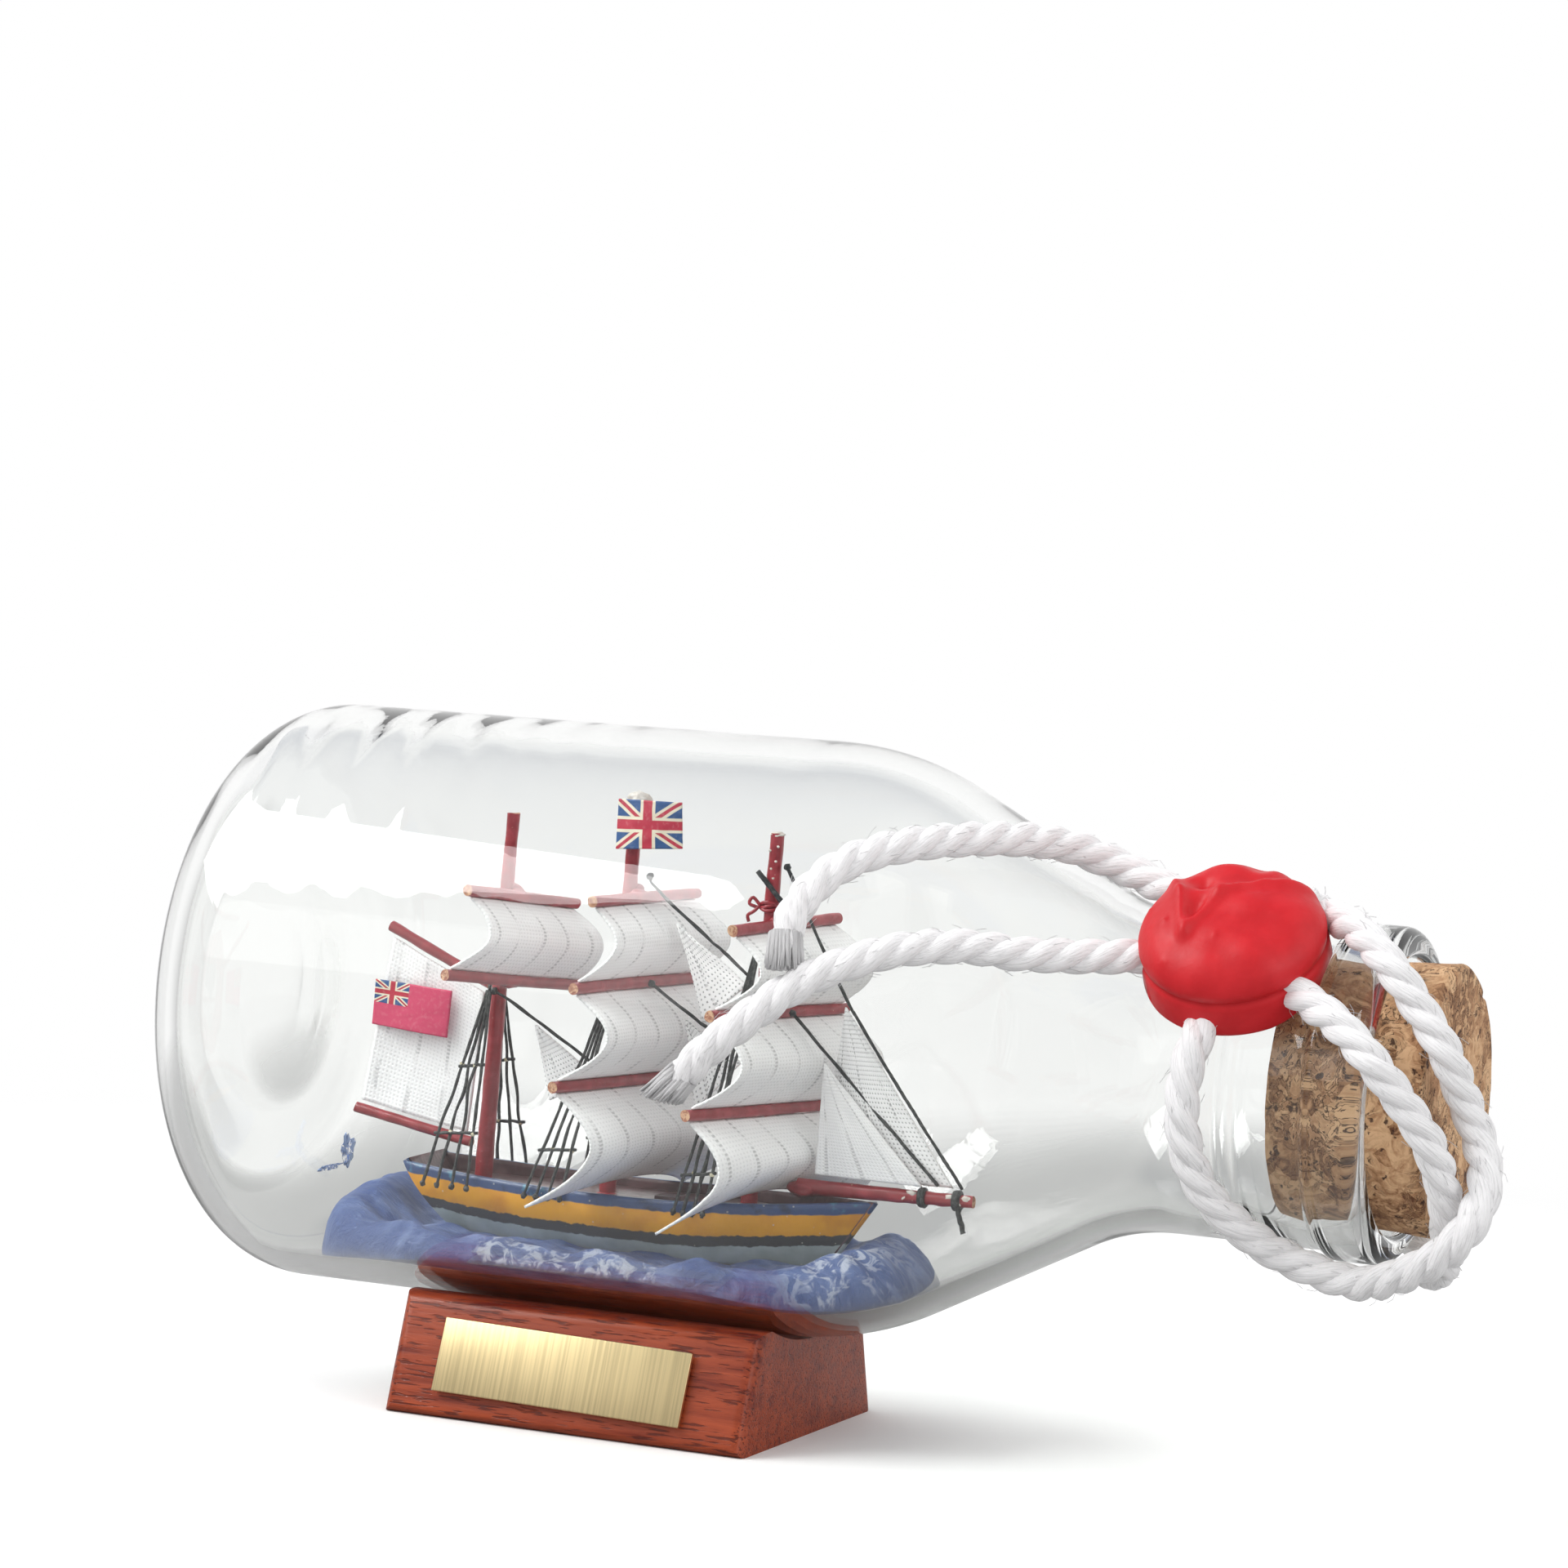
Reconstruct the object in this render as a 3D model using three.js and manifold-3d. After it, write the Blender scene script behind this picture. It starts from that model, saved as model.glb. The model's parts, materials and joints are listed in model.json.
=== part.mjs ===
// A small ship in a bottle: a three-masted model ship on a moulded sea, glued inside a clear
// bottle that lies on its side on a wooden base. The cork is tied down with cotton rope, and a
// red wax seal covers the knot. Millimetres, +Z up. +X runs along the bottle towards the cork,
// -Y is the front with the nameplate, and the origin is the centre of the base's underside.
import * as THREE from 'three';
import Module from 'manifold-3d';
import { mergeVertices } from 'three/addons/utils/BufferGeometryUtils.js';

const wasm = await Module();
wasm.setup();

// ---- Driving dimensions -------------------------------------------------------------------

const gap = 0.3;                 // glue line or clearance between neighbouring pieces

// Wooden base
const baseLength = 36.3;
const baseWidth = 32.0;          // at the underside
const baseHeight = 10.9;
const baseSlant = 3.6;           // how far each long side leans in over the height
const baseEdgeRadius = 0.9;
const cradleDepth = 1.5;         // how far the bottle sinks below the base's top

// Nameplate
const plateLength = 25.1;
const plateWidth = 6.9;
const plateThickness = 0.5;
const plateTilt = 1.0;           // degrees it was glued out of level
const plateShift = -0.5;

// Bottle
const bodyRadius = 27.5;
const wall = 2.0;
const bottleStart = -41.0;       // plane of the bottle's foot
const bodyLength = 58.0;         // foot to the start of the shoulder
const heelRadius = 8.2;
const footThickness = 4.6;
const puntDepth = 2.6;
const puntMargin = 2.3;          // flat ring between the heel's curve and the punt
const shoulderRadius = 27.8;
const shoulderAngle = 27.9;      // degrees between the shoulder's cone and the axis
const throatRadius = 18.1;
const neckRadius = 14.2;
const neckLength = 19.7;
const lipProud = 0.8;            // how far the lip stands out from the neck
const lipLength = 5.6;

// Cork
const corkTaper = 3.9;           // degrees, half angle
const corkProud = 4.5;
const corkInside = 9.3;
const corkEdgeRadius = 0.8;

// Wax seal and rope
const sealRadius = 8.7;
const sealAngle = 50;            // degrees up from the front, round the neck
const sealAlong = 6.45;          // from the start of the neck to the seal's middle
const sealRimHeight = 2.9;
const sealDomeHeight = 1.9;
const sealSink = 0.9;            // how far the rim reaches down past the top of the neck
const ropeDiameter = 3.2;

// Sea, with its two crests by height, place and spread
const seaLength = 62.5;
const seaWidth = 29.0;
const seaMiddle = -1.0;
const seaDraught = 1.1;          // calm level above the keel
const seaRimThickness = 0.5;
const seaBluntness = 0.75;       // 1 for an oval outline, less for a squarer one
const seaCrests = [
  { height: 3.0, x: -27, y: 2, long: 5, wide: 11 },
  { height: 2.2, x: 24, y: -1, long: 5, wide: 11 },
];
const rippleHeight = 0.25;
const rippleRate = 0.62;         // radians per millimetre along the sea
const seaDish = 0.006;           // how much the sea climbs towards the glass

// Hull. Its keel stands clear of the glass, and everything aboard is placed from the hull.
const keelClearance = 3.0;
const hullLength = 46.6;         // along the rail
const hullMiddle = 0.5;
const hullBeam = 11.8;
const hullDepth = 6.6;           // keel to rail
const hullSternRake = 6.0;
const hullSternCurve = 1.2;
const hullBowRake = 5.2;
const hullWidestAt = 0.45;       // share of the length from the stern
const hullTransom = 0.72;        // share of the beam at the stern
const hullBowCurve = 1.7;
const hullFullness = 1.25;
const hullSheer = 0.9;           // how much the rail rises towards its ends
const railAboveDeck = 1.2;
const deckThickness = 0.5;
const bulwark = 0.6;
const hatchLength = 2.2;
const hatchWidth = 2.6;
const hatchHeight = 0.9;
const hatchAt = 0.558;

// Spars and rigging
const mastRadius = 0.8;
const mastTopRadius = 0.65;
const yardRadius = 0.53;
const gaffRadius = 0.5;
const threadRadius = 0.2;
const lashingHeight = 28.8;      // above the deck
const lashingSlack = 0.1;
const paperThickness = 0.25;
const clothThickness = 0.3;

// Facets round a full turn
const bottleFacets = 40;
const mastFacets = 12;
const yardFacets = 8;
const threadFacets = 4;
const ropeFacets = 8;

// ---- Materials ----------------------------------------------------------------------------

const paint = (color, roughness, metalness = 0) =>
  new THREE.MeshStandardMaterial({ color, roughness, metalness });

const finish = {
  wood: paint(0x8a3220, 0.5),
  brass: paint(0xd9bd72, 0.35, 1),
  glass: new THREE.MeshStandardMaterial({
    color: 0xe9f0ea, roughness: 0.02, transparent: true, opacity: 0.3,
  }),
  cork: paint(0xb98b5c, 0.9),
  wax: paint(0xd0121a, 0.35),
  rope: paint(0xf2f0ef, 0.95),
  sea: paint(0x7484b8, 0.4),
  hull: paint(0xd39a2a, 0.4),
  deck: paint(0x6f5048, 0.6),
  spar: paint(0x8b1a22, 0.45),
  sail: paint(0xf1efef, 0.95),
  thread: paint(0x2c3031, 0.8),
  flag: paint(0xd63a5c, 0.8),
};

// ---- Derived places -----------------------------------------------------------------------

const radians = THREE.MathUtils.degToRad;
const axisHeight = baseHeight - cradleDepth + bodyRadius;
const slope = radians(shoulderAngle);
const shoulderStart = bottleStart + bodyLength;
const coneStart = shoulderStart + shoulderRadius * Math.sin(slope);
const coneTopRadius = bodyRadius - shoulderRadius * (1 - Math.cos(slope));
const coneEndRadius = neckRadius + throatRadius * (1 - Math.cos(slope));
const coneEnd = coneStart + (coneTopRadius - coneEndRadius) / Math.tan(slope);
const neckStart = coneEnd + throatRadius * Math.sin(slope);
const mouth = neckStart + neckLength;
const lipRadius = neckRadius + lipProud;
const puntRadius = bodyRadius - heelRadius - puntMargin;
const corkRadius = neckRadius - wall - gap + corkProud * Math.tan(radians(corkTaper));
const hullSternX = hullMiddle - hullLength / 2;
const hullBowX = hullMiddle + hullLength / 2;
const keelHeight = axisHeight - bodyRadius + wall + keelClearance;
const railHeight = keelHeight + hullDepth;
const deckHeight = railHeight - railAboveDeck;
const seaHeight = keelHeight + seaDraught;

// Distance from the bottle's axis to its outer face, or to a face set in from that.
function glassRadius(x, inset) {
  if (x <= shoulderStart) {
    return bodyRadius - inset;
  }
  const shoulder = shoulderRadius - inset;
  const shoulderEnd = shoulderStart + shoulder * Math.sin(slope);
  if (x <= shoulderEnd) {
    return bodyRadius - shoulderRadius + Math.sqrt(shoulder ** 2 - (x - shoulderStart) ** 2);
  }
  const throat = throatRadius + inset;
  if (x <= neckStart - throat * Math.sin(slope)) {
    const endRadius = bodyRadius - shoulderRadius + shoulder * Math.cos(slope);
    return endRadius - (x - shoulderEnd) * Math.tan(slope);
  }
  if (x <= neckStart) {
    return neckRadius + throatRadius - Math.sqrt(throat ** 2 - (x - neckStart) ** 2);
  }
  return neckRadius - inset;
}

// A place on or off the glass: along the bottle from the start of its neck, out from its outer
// face, and round from the front in degrees, up being 90.
function offGlass([along, out, around]) {
  const x = neckStart + along;
  const reach = glassRadius(x, 0) + out;
  const turn = radians(around);
  return [x, -reach * Math.cos(turn), axisHeight + reach * Math.sin(turn)];
}

// ---- Geometry helpers ---------------------------------------------------------------------

// Merges equal corners, drops collapsed triangles and turns the faces outwards.
function closedBody(geometry) {
  const bare = geometry.clone();
  bare.deleteAttribute('normal');
  bare.deleteAttribute('uv');
  const merged = mergeVertices(bare, 1e-4);
  const place = merged.attributes.position;
  const corner = [0, 1, 2].map(() => new THREE.Vector3());
  const kept = [];
  let volume = 0;
  for (let i = 0; i < merged.index.count; i += 3) {
    const ids = [0, 1, 2].map((k) => merged.index.getX(i + k));
    if (new Set(ids).size === 3) {
      ids.forEach((id, k) => corner[k].fromBufferAttribute(place, id));
      volume += corner[0].dot(corner[1].clone().cross(corner[2])) / 6;
      kept.push(ids);
    }
  }
  if (volume < 0) {
    kept.forEach((ids) => ids.reverse());
  }
  merged.setIndex(kept.flat());
  return merged;
}

function toSolid(geometry) {
  const body = closedBody(geometry);
  const vertProperties = new Float32Array(body.attributes.position.array);
  const triVerts = new Uint32Array(body.index.array);
  return new wasm.Manifold(new wasm.Mesh({ numProp: 3, vertProperties, triVerts }));
}

function toGeometry(solid) {
  const mesh = solid.getMesh();
  const geometry = new THREE.BufferGeometry();
  geometry.setAttribute('position', new THREE.BufferAttribute(mesh.vertProperties, 3));
  geometry.setIndex(new THREE.BufferAttribute(mesh.triVerts, 1));
  return closedBody(geometry);
}

function cut(geometry, ...tools) {
  return toGeometry(tools.reduce((rest, tool) => rest.subtract(toSolid(tool)), toSolid(geometry)));
}

function join(...pieces) {
  return toGeometry(pieces.slice(1).reduce((sum, piece) => sum.add(toSolid(piece)), toSolid(pieces[0])));
}

// Turns a profile of [along, radius] points round the bottle's axis.
function turned(profile, facets) {
  const points = profile.map(([along, radius]) => new THREE.Vector2(radius, along));
  const geometry = new THREE.LatheGeometry(points, facets);
  geometry.rotateZ(-Math.PI / 2);
  geometry.translate(0, 0, axisHeight);
  return closedBody(geometry);
}

// Points of an arc in the [along, radius] plane, from one angle to another in degrees.
function arc(along, radius, size, from, to, steps) {
  return Array.from({ length: steps + 1 }, (_, i) => {
    const angle = radians(from + ((to - from) * i) / steps);
    return [along + size * Math.cos(angle), radius + size * Math.sin(angle)];
  });
}

// A round bar from one point to another.
function bar(from, to, startRadius, endRadius, facets) {
  const start = new THREE.Vector3(...from);
  const run = new THREE.Vector3(...to).sub(start);
  const geometry = new THREE.CylinderGeometry(endRadius, startRadius, run.length(), facets);
  geometry.translate(0, run.length() / 2, 0);
  const up = new THREE.Vector3(0, 1, 0);
  geometry.applyQuaternion(new THREE.Quaternion().setFromUnitVectors(up, run.normalize()));
  geometry.translate(start.x, start.y, start.z);
  return closedBody(geometry);
}

// A flat piece along the ship, by its corners, centred on the plane y.
function flat(corners, y, thickness) {
  const shape = new THREE.Shape(corners.map(([x, , z]) => new THREE.Vector2(x, z)));
  const geometry = new THREE.ExtrudeGeometry(shape, { depth: thickness, bevelEnabled: false });
  geometry.rotateX(Math.PI / 2);
  geometry.translate(0, y + thickness / 2, 0);
  return closedBody(geometry);
}

// Closes two sheets of points, each a grid of rows, into one solid round their shared rim.
function betweenSheets(upper, lower) {
  const rows = upper.length;
  const columns = upper[0].length;
  const positions = [...upper.flat(), ...lower.flat()].flat();
  const id = (sheet, row, column) => (sheet * rows + row) * columns + column;
  const faces = [];
  for (let row = 0; row < rows - 1; row += 1) {
    for (let column = 0; column < columns - 1; column += 1) {
      for (const sheet of [0, 1]) {
        const a = id(sheet, row, column);
        const b = id(sheet, row, column + 1);
        const c = id(sheet, row + 1, column + 1);
        const d = id(sheet, row + 1, column);
        faces.push(...(sheet ? [a, c, b, a, d, c] : [a, b, c, a, c, d]));
      }
    }
  }
  const count = (total) => Array.from({ length: total - 1 }, (_, i) => i);
  const rim = [
    ...count(columns).map((i) => [0, i]),
    ...count(rows).map((i) => [i, columns - 1]),
    ...count(columns).map((i) => [rows - 1, columns - 1 - i]),
    ...count(rows).map((i) => [rows - 1 - i, 0]),
  ];
  rim.forEach(([row, column], i) => {
    const [nextRow, nextColumn] = rim[(i + 1) % rim.length];
    const a = id(0, row, column);
    const b = id(0, nextRow, nextColumn);
    const c = id(1, nextRow, nextColumn);
    const d = id(1, row, column);
    faces.push(a, d, c, a, c, b);
  });
  const geometry = new THREE.BufferGeometry();
  geometry.setAttribute('position', new THREE.Float32BufferAttribute(positions, 3));
  geometry.setIndex(faces);
  return closedBody(geometry);
}

const part = new THREE.Group();

function add(name, material, geometry) {
  const mesh = new THREE.Mesh(geometry, material);
  mesh.name = name;
  part.add(mesh);
}

// ---- Base and nameplate -------------------------------------------------------------------

function baseBlock() {
  const half = baseWidth / 2;
  const top = half - baseSlant;
  const section = new THREE.Shape([
    new THREE.Vector2(-half, 0),
    new THREE.Vector2(half, 0),
    new THREE.Vector2(top, baseHeight),
    new THREE.Vector2(-top, baseHeight),
  ]);
  const block = new THREE.ExtrudeGeometry(section, {
    depth: baseLength - 2 * baseEdgeRadius,
    bevelThickness: baseEdgeRadius,
    bevelSize: baseEdgeRadius,
    bevelOffset: -baseEdgeRadius,
    bevelSegments: 3,
  });
  block.translate(0, 0, baseEdgeRadius - baseLength / 2);
  block.rotateX(Math.PI / 2);
  block.rotateZ(Math.PI / 2);
  const cradle = new THREE.CylinderGeometry(
    bodyRadius + gap, bodyRadius + gap, baseLength + 2, 3 * bottleFacets,
  );
  cradle.rotateZ(Math.PI / 2);
  cradle.translate(0, 0, axisHeight);
  return cut(block, cradle);
}

function nameplate() {
  const plate = new THREE.BoxGeometry(plateLength, plateThickness, plateWidth);
  const lean = Math.atan2(baseSlant, baseHeight);
  plate.rotateY(-radians(plateTilt));
  plate.translate(0, -gap - plateThickness / 2, 0);
  plate.rotateX(-lean);
  plate.translate(plateShift, (baseSlant - baseWidth) / 2, baseHeight / 2);
  return closedBody(plate);
}

// ---- Bottle and cork ----------------------------------------------------------------------

function bottle() {
  const footEdge = bottleStart + heelRadius;
  const slack = bodyRadius - shoulderRadius;
  const outside = [
    [bottleStart + puntDepth, 0],
    [bottleStart + puntDepth, puntRadius * 0.55],
    [bottleStart + puntDepth * 0.3, puntRadius * 0.9],
    [bottleStart, bodyRadius - heelRadius - 0.6],
    ...arc(footEdge, bodyRadius - heelRadius, heelRadius, 180, 90, 4),
    ...arc(shoulderStart, slack, shoulderRadius, 90, 90 - shoulderAngle, 4),
    ...arc(neckStart, neckRadius + throatRadius, throatRadius, 270 - shoulderAngle, 270, 3),
    [mouth - lipLength, neckRadius],
    [mouth - lipLength + 0.8, lipRadius],
    [mouth - 0.7, lipRadius],
    [mouth, lipRadius - 0.7],
  ];
  const innerHeel = heelRadius - wall;
  const inside = [
    [mouth, neckRadius - wall],
    ...arc(neckStart, neckRadius + throatRadius, throatRadius + wall, 270, 270 - shoulderAngle, 3),
    ...arc(shoulderStart, slack, shoulderRadius - wall, 90 - shoulderAngle, 90, 4),
    ...arc(footEdge, bodyRadius - heelRadius, innerHeel, 90, 180, 4),
    [bottleStart + wall + puntDepth * 0.4, puntRadius * 0.9],
    [bottleStart + footThickness, puntRadius * 0.5],
    [bottleStart + footThickness, 0],
  ];
  return turned([...outside, ...inside], bottleFacets);
}

function cork() {
  const inner = mouth - corkInside;
  const outer = mouth + corkProud;
  const innerSize = corkRadius - (corkInside + corkProud) * Math.tan(radians(corkTaper));
  return turned([
    [inner, 0],
    [inner, innerSize],
    [outer - corkEdgeRadius, corkRadius],
    [outer, corkRadius - corkEdgeRadius],
    [outer, 0],
  ], bottleFacets / 2);
}

// ---- Seal and rope ------------------------------------------------------------------------

// Hand-laid routes of the rope's four visible stretches, as places off the glass. Each starts
// or ends at the seal.
const ropeRoutes = {
  rope_tail_upper: [
    [-0.1, 2.29, 76.0], [-3.8, 2.53, 82.6], [-8.1, 2.47, 84.1], [-12.1, 2.26, 77.3],
    [-16.0, 2.08, 65.7], [-20.2, 2.08, 54.8], [-23.9, 2.11, 46.2], [-26.7, 2.07, 39.3],
    [-28.6, 2.00, 32.2], [-29.4, 2.01, 25.0], [-29.1, 1.90, 19.3],
  ].map(offGlass),
  rope_tail_lower: [
    [-2.7, 2.01, 43.0], [-6.2, 2.11, 39.2], [-11.2, 2.07, 33.7], [-15.6, 1.98, 31.1],
    [-20.3, 2.15, 26.2], [-23.9, 2.02, 21.2], [-27.5, 1.98, 16.0], [-31.2, 1.98, 9.1],
    [-34.6, 2.00, 2.9], [-38.6, 2.13, -5.4],
  ].map(offGlass),
  rope_cork_loop: [
    [13.1, 2.28, 72.3], [16.7, 2.99, 60.8], [20.6, 2.65, 47.9], [23.5, 0.54, 38.1],
    [26.2, -1.67, 24.5], [27.4, -5.24, 6.4], [28.7, -5.59, -15.5], [30.0, -2.16, -28.3],
    [29.3, 1.62, -36.0], [26.4, 3.12, -45.2], [22.3, 3.84, -54.0], [18.5, 3.61, -61.1],
    [14.4, 2.92, -59.8], [11.2, 2.16, -56.2], [8.7, 2.06, -45.0], [6.5, 2.14, -33.0],
    [5.0, 2.09, -20.1], [4.4, 2.12, -7.0], [4.4, 1.96, 5.0], [4.8, 1.89, 15.5],
  ].map(offGlass),
  rope_neck_loop: [
    [14.4, 2.91, 33.3], [17.6, 2.93, 26.0], [21.0, 2.52, 15.6], [23.5, 0.54, 4.3],
    [25.6, -0.70, -9.8], [26.4, -1.78, -30.5], [26.3, -1.39, -51.3], [25.2, -0.09, -73.1],
    [22.7, 1.25, -94.8], [19.9, 2.93, -117.5], [17.0, 3.04, -139.5], [14.5, 2.94, -162.0],
    [12.1, 2.51, -182.4], [10.5, 2.26, -205.2], [9.4, 2.23, -228.0], [8.6, 2.28, -250.1],
    [8.1, 2.30, -269.7],
  ].map(offGlass),
};

// A round tube along a smooth curve through the route's points.
function tube(route, radius, facets, stepLength) {
  const curve = new THREE.CatmullRomCurve3(route.map((point) => new THREE.Vector3(...point)));
  const section = new THREE.Shape(Array.from({ length: facets }, (_, i) => {
    const angle = (2 * Math.PI * i) / facets;
    return new THREE.Vector2(radius * Math.cos(angle), radius * Math.sin(angle));
  }));
  const steps = Math.round(curve.getLength() / stepLength);
  return closedBody(new THREE.ExtrudeGeometry(section, { steps, extrudePath: curve }));
}

const ropeStep = 1.5 * ropeDiameter;

// The hollow that a stretch of rope leaves in the wax, a clearance wider and longer than it.
function ropeChannel(route) {
  const beyond = (end, next) => {
    const tip = new THREE.Vector3(...end);
    const away = tip.clone().sub(new THREE.Vector3(...next)).setLength(gap);
    return tip.add(away).toArray();
  };
  const start = beyond(route[0], route[1]);
  const end = beyond(route.at(-1), route.at(-2));
  return tube([start, ...route, end], ropeDiameter / 2 + gap, ropeFacets, ropeStep);
}

function waxSeal() {
  const rim = sealRimHeight - sealSink;
  const profile = [
    [-sealSink, 0],
    [-sealSink, sealRadius - 0.5],
    [0, sealRadius],
    [rim - 0.6, sealRadius],
    [rim + 0.4 * sealDomeHeight, sealRadius * 0.88],
    [rim + 0.8 * sealDomeHeight, sealRadius * 0.55],
    [rim + sealDomeHeight, 0],
  ];
  const dome = new THREE.LatheGeometry(
    profile.map(([along, radius]) => new THREE.Vector2(radius, along)), 24,
  );
  dome.translate(0, neckRadius + gap, 0);
  dome.rotateX(Math.PI - radians(sealAngle));
  dome.translate(neckStart + sealAlong, 0, axisHeight);
  const throat = arc(
    neckStart, neckRadius + throatRadius, throatRadius - gap, 270 - shoulderAngle, 270, 3,
  );
  const lipStart = mouth - lipLength - gap;
  const neck = turned([
    [throat[0][0], 0],
    ...throat,
    [lipStart, neckRadius + gap],
    [lipStart, lipRadius + gap],
    [mouth, lipRadius + gap],
    [mouth, 0],
  ], bottleFacets);
  return cut(dome, neck, ...Object.values(ropeRoutes).map(ropeChannel));
}


// ---- Hull, deck and sea -------------------------------------------------------------------

const stations = 10;
const ribs = 4;
const stemBreadth = 0.12;        // least half breadth, at the stem

function halfBreadth(along) {
  const aft = THREE.MathUtils.clamp(along / hullWidestAt, 0, 1);
  const forward = THREE.MathUtils.clamp((along - hullWidestAt) / (1 - hullWidestAt), 0, 1);
  const share = along < hullWidestAt
    ? hullTransom + (1 - hullTransom) * Math.sin((Math.PI / 2) * aft)
    : Math.cos((Math.PI / 2) * forward ** hullBowCurve);
  return (hullBeam / 2) * share;
}

function railAt(along) {
  return railHeight + hullSheer * (2 * (along - hullWidestAt)) ** 2;
}

// One point of the hull's side, or of a face set in from it. Height 0 is the keel, 1 the rail.
function hullPoint(along, height, inset) {
  const inner = THREE.MathUtils.lerp(inset / hullLength, 1 - inset / hullLength, along);
  const stern = hullSternX + hullSternRake * (1 - height) ** hullSternCurve;
  const bow = hullBowX - hullBowRake * (1 - height);
  const fullness = 0.5 + 0.5 * Math.sin((Math.PI / 2) * Math.min(1, height * hullFullness));
  const breadth = Math.max(halfBreadth(inner) * fullness - inset, stemBreadth);
  return [THREE.MathUtils.lerp(stern, bow, inner), breadth];
}

// A solid lofted along the hull between two heights, with its sides set in by inset.
function hullLoft(inset, lowAt, highAt) {
  const columns = Array.from({ length: stations + 1 }, (_, i) => i / stations);
  const side = (sign, along) => Array.from({ length: ribs + 1 }, (_, j) => {
    const z = THREE.MathUtils.lerp(lowAt(along), highAt(along), j / ribs);
    const height = (z - keelHeight) / (railAt(along) - keelHeight);
    const [x, y] = hullPoint(along, THREE.MathUtils.clamp(height, 0, 1), inset);
    return [x, sign * y, z];
  });
  return betweenSheets(
    columns.map((along) => side(-1, along)),
    columns.map((along) => side(1, along)),
  );
}

function hull() {
  const shell = hullLoft(0, () => keelHeight, railAt);
  const well = hullLoft(bulwark, () => deckHeight - deckThickness - gap, (u) => railAt(u) + 1);
  return cut(shell, well);
}

function deck() {
  return hullLoft(bulwark + gap, () => deckHeight - deckThickness, () => deckHeight);
}

function seaTop(x, y) {
  const crests = seaCrests.map(({ height, x: along, y: across, long, wide }) =>
    height * Math.exp(-(((x - along) / long) ** 2) - ((y - across) / wide) ** 2));
  const ripple = rippleHeight * Math.sin(x * rippleRate + 0.8 * Math.sin(y * 0.5));
  return seaHeight + crests[0] + crests[1] + ripple + seaDish * y * y;
}

// The sea fills the low side of the bottle and is pressed round the hull.
function sea() {
  const rounds = 28;
  const rings = 5;
  const upper = [];
  const lower = [];
  for (let i = 0; i <= rounds; i += 1) {
    const angle = (2 * Math.PI * i) / rounds;
    const upperRow = [];
    const lowerRow = [];
    for (let j = 0; j <= rings; j += 1) {
      const share = j / rings;
      const c = Math.cos(angle);
      const s = Math.sin(angle);
      const x = seaMiddle + (seaLength / 2) * share * Math.sign(c) * Math.abs(c) ** seaBluntness;
      const y = (seaWidth / 2) * share * Math.sign(s) * Math.abs(s) ** seaBluntness;
      const floor = axisHeight - Math.sqrt(glassRadius(x, wall + gap) ** 2 - y ** 2);
      lowerRow.push([x, y, floor]);
      upperRow.push([x, y, Math.max(seaTop(x, y), floor + seaRimThickness)]);
    }
    upper.push(upperRow);
    lower.push(lowerRow);
  }
  const water = seaDisc(upper, lower);
  return cut(water, hullLoft(-gap, () => keelHeight - gap, railAt));
}

// Closes two round fans of points, each row running from the middle out, into one solid.
function seaDisc(upper, lower) {
  const rounds = upper.length - 1;
  const rings = upper[0].length - 1;
  const geometry = new THREE.BufferGeometry();
  const corners = [];
  const quad = (a, b, c, d) => corners.push(...a, ...b, ...c, ...a, ...c, ...d);
  for (let i = 0; i < rounds; i += 1) {
    for (let j = 0; j < rings; j += 1) {
      quad(upper[i][j], upper[i][j + 1], upper[i + 1][j + 1], upper[i + 1][j]);
      quad(lower[i][j], lower[i + 1][j], lower[i + 1][j + 1], lower[i][j + 1]);
    }
    quad(upper[i][rings], lower[i][rings], lower[i + 1][rings], upper[i + 1][rings]);
  }
  geometry.setAttribute('position', new THREE.Float32BufferAttribute(corners, 3));
  return closedBody(geometry);
}

// ---- Masts and spars ----------------------------------------------------------------------

// Each mast's foot as a share of the hull's length from the stern, its lean forward over its
// height, and its height above the deck.
const masts = {
  mizzen: { at: 0.137, rake: 1.3, height: 35.4 },
  main: { at: 0.418, rake: 0.9, height: 37.8 },
  fore: { at: 0.721, rake: 0.9, height: 35.7 },
};

// How far along the ship a mast's middle is, at a rise above the deck.
function mastAt(mast, rise) {
  return hullSternX + mast.at * hullLength + mast.rake * (rise / mast.height);
}

// A place by its distance ahead of a mast's middle, its rise above the deck and its side.
function byMast(mast, ahead, rise, side = 0) {
  return [mastAt(mast, rise) + ahead, side, deckHeight + rise];
}

function mastPole(mast) {
  const top = byMast(mast, 0, mast.height);
  return bar(byMast(mast, 0, gap), top, mastRadius, mastTopRadius, mastFacets);
}

// Yards cross in front of their mast, at a height above the deck. Brace turns the near end aft
// and cock lifts it, in degrees.
const yards = {
  mizzen_upper_yard: { mast: masts.mizzen, height: 27.6, half: 8.2, brace: 12, cock: 5.5 },
  mizzen_lower_yard: { mast: masts.mizzen, height: 19.6, half: 9.7, brace: 15, cock: 5.5 },
  main_upper_yard: { mast: masts.main, height: 28.6, half: 9.0, brace: 8, cock: -1 },
  main_middle_yard: { mast: masts.main, height: 20.6, half: 10.2, brace: 11, cock: -1 },
  main_lower_yard: { mast: masts.main, height: 11.4, half: 11.3, brace: 14, cock: 0 },
  fore_upper_yard: { mast: masts.fore, height: 27.3, half: 8.2, brace: 12, cock: -2.8 },
  fore_middle_yard: { mast: masts.fore, height: 19.1, half: 9.3, brace: 17, cock: 0 },
  fore_lower_yard: { mast: masts.fore, height: 10.0, half: 10.5, brace: 20, cock: 0 },
};

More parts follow.
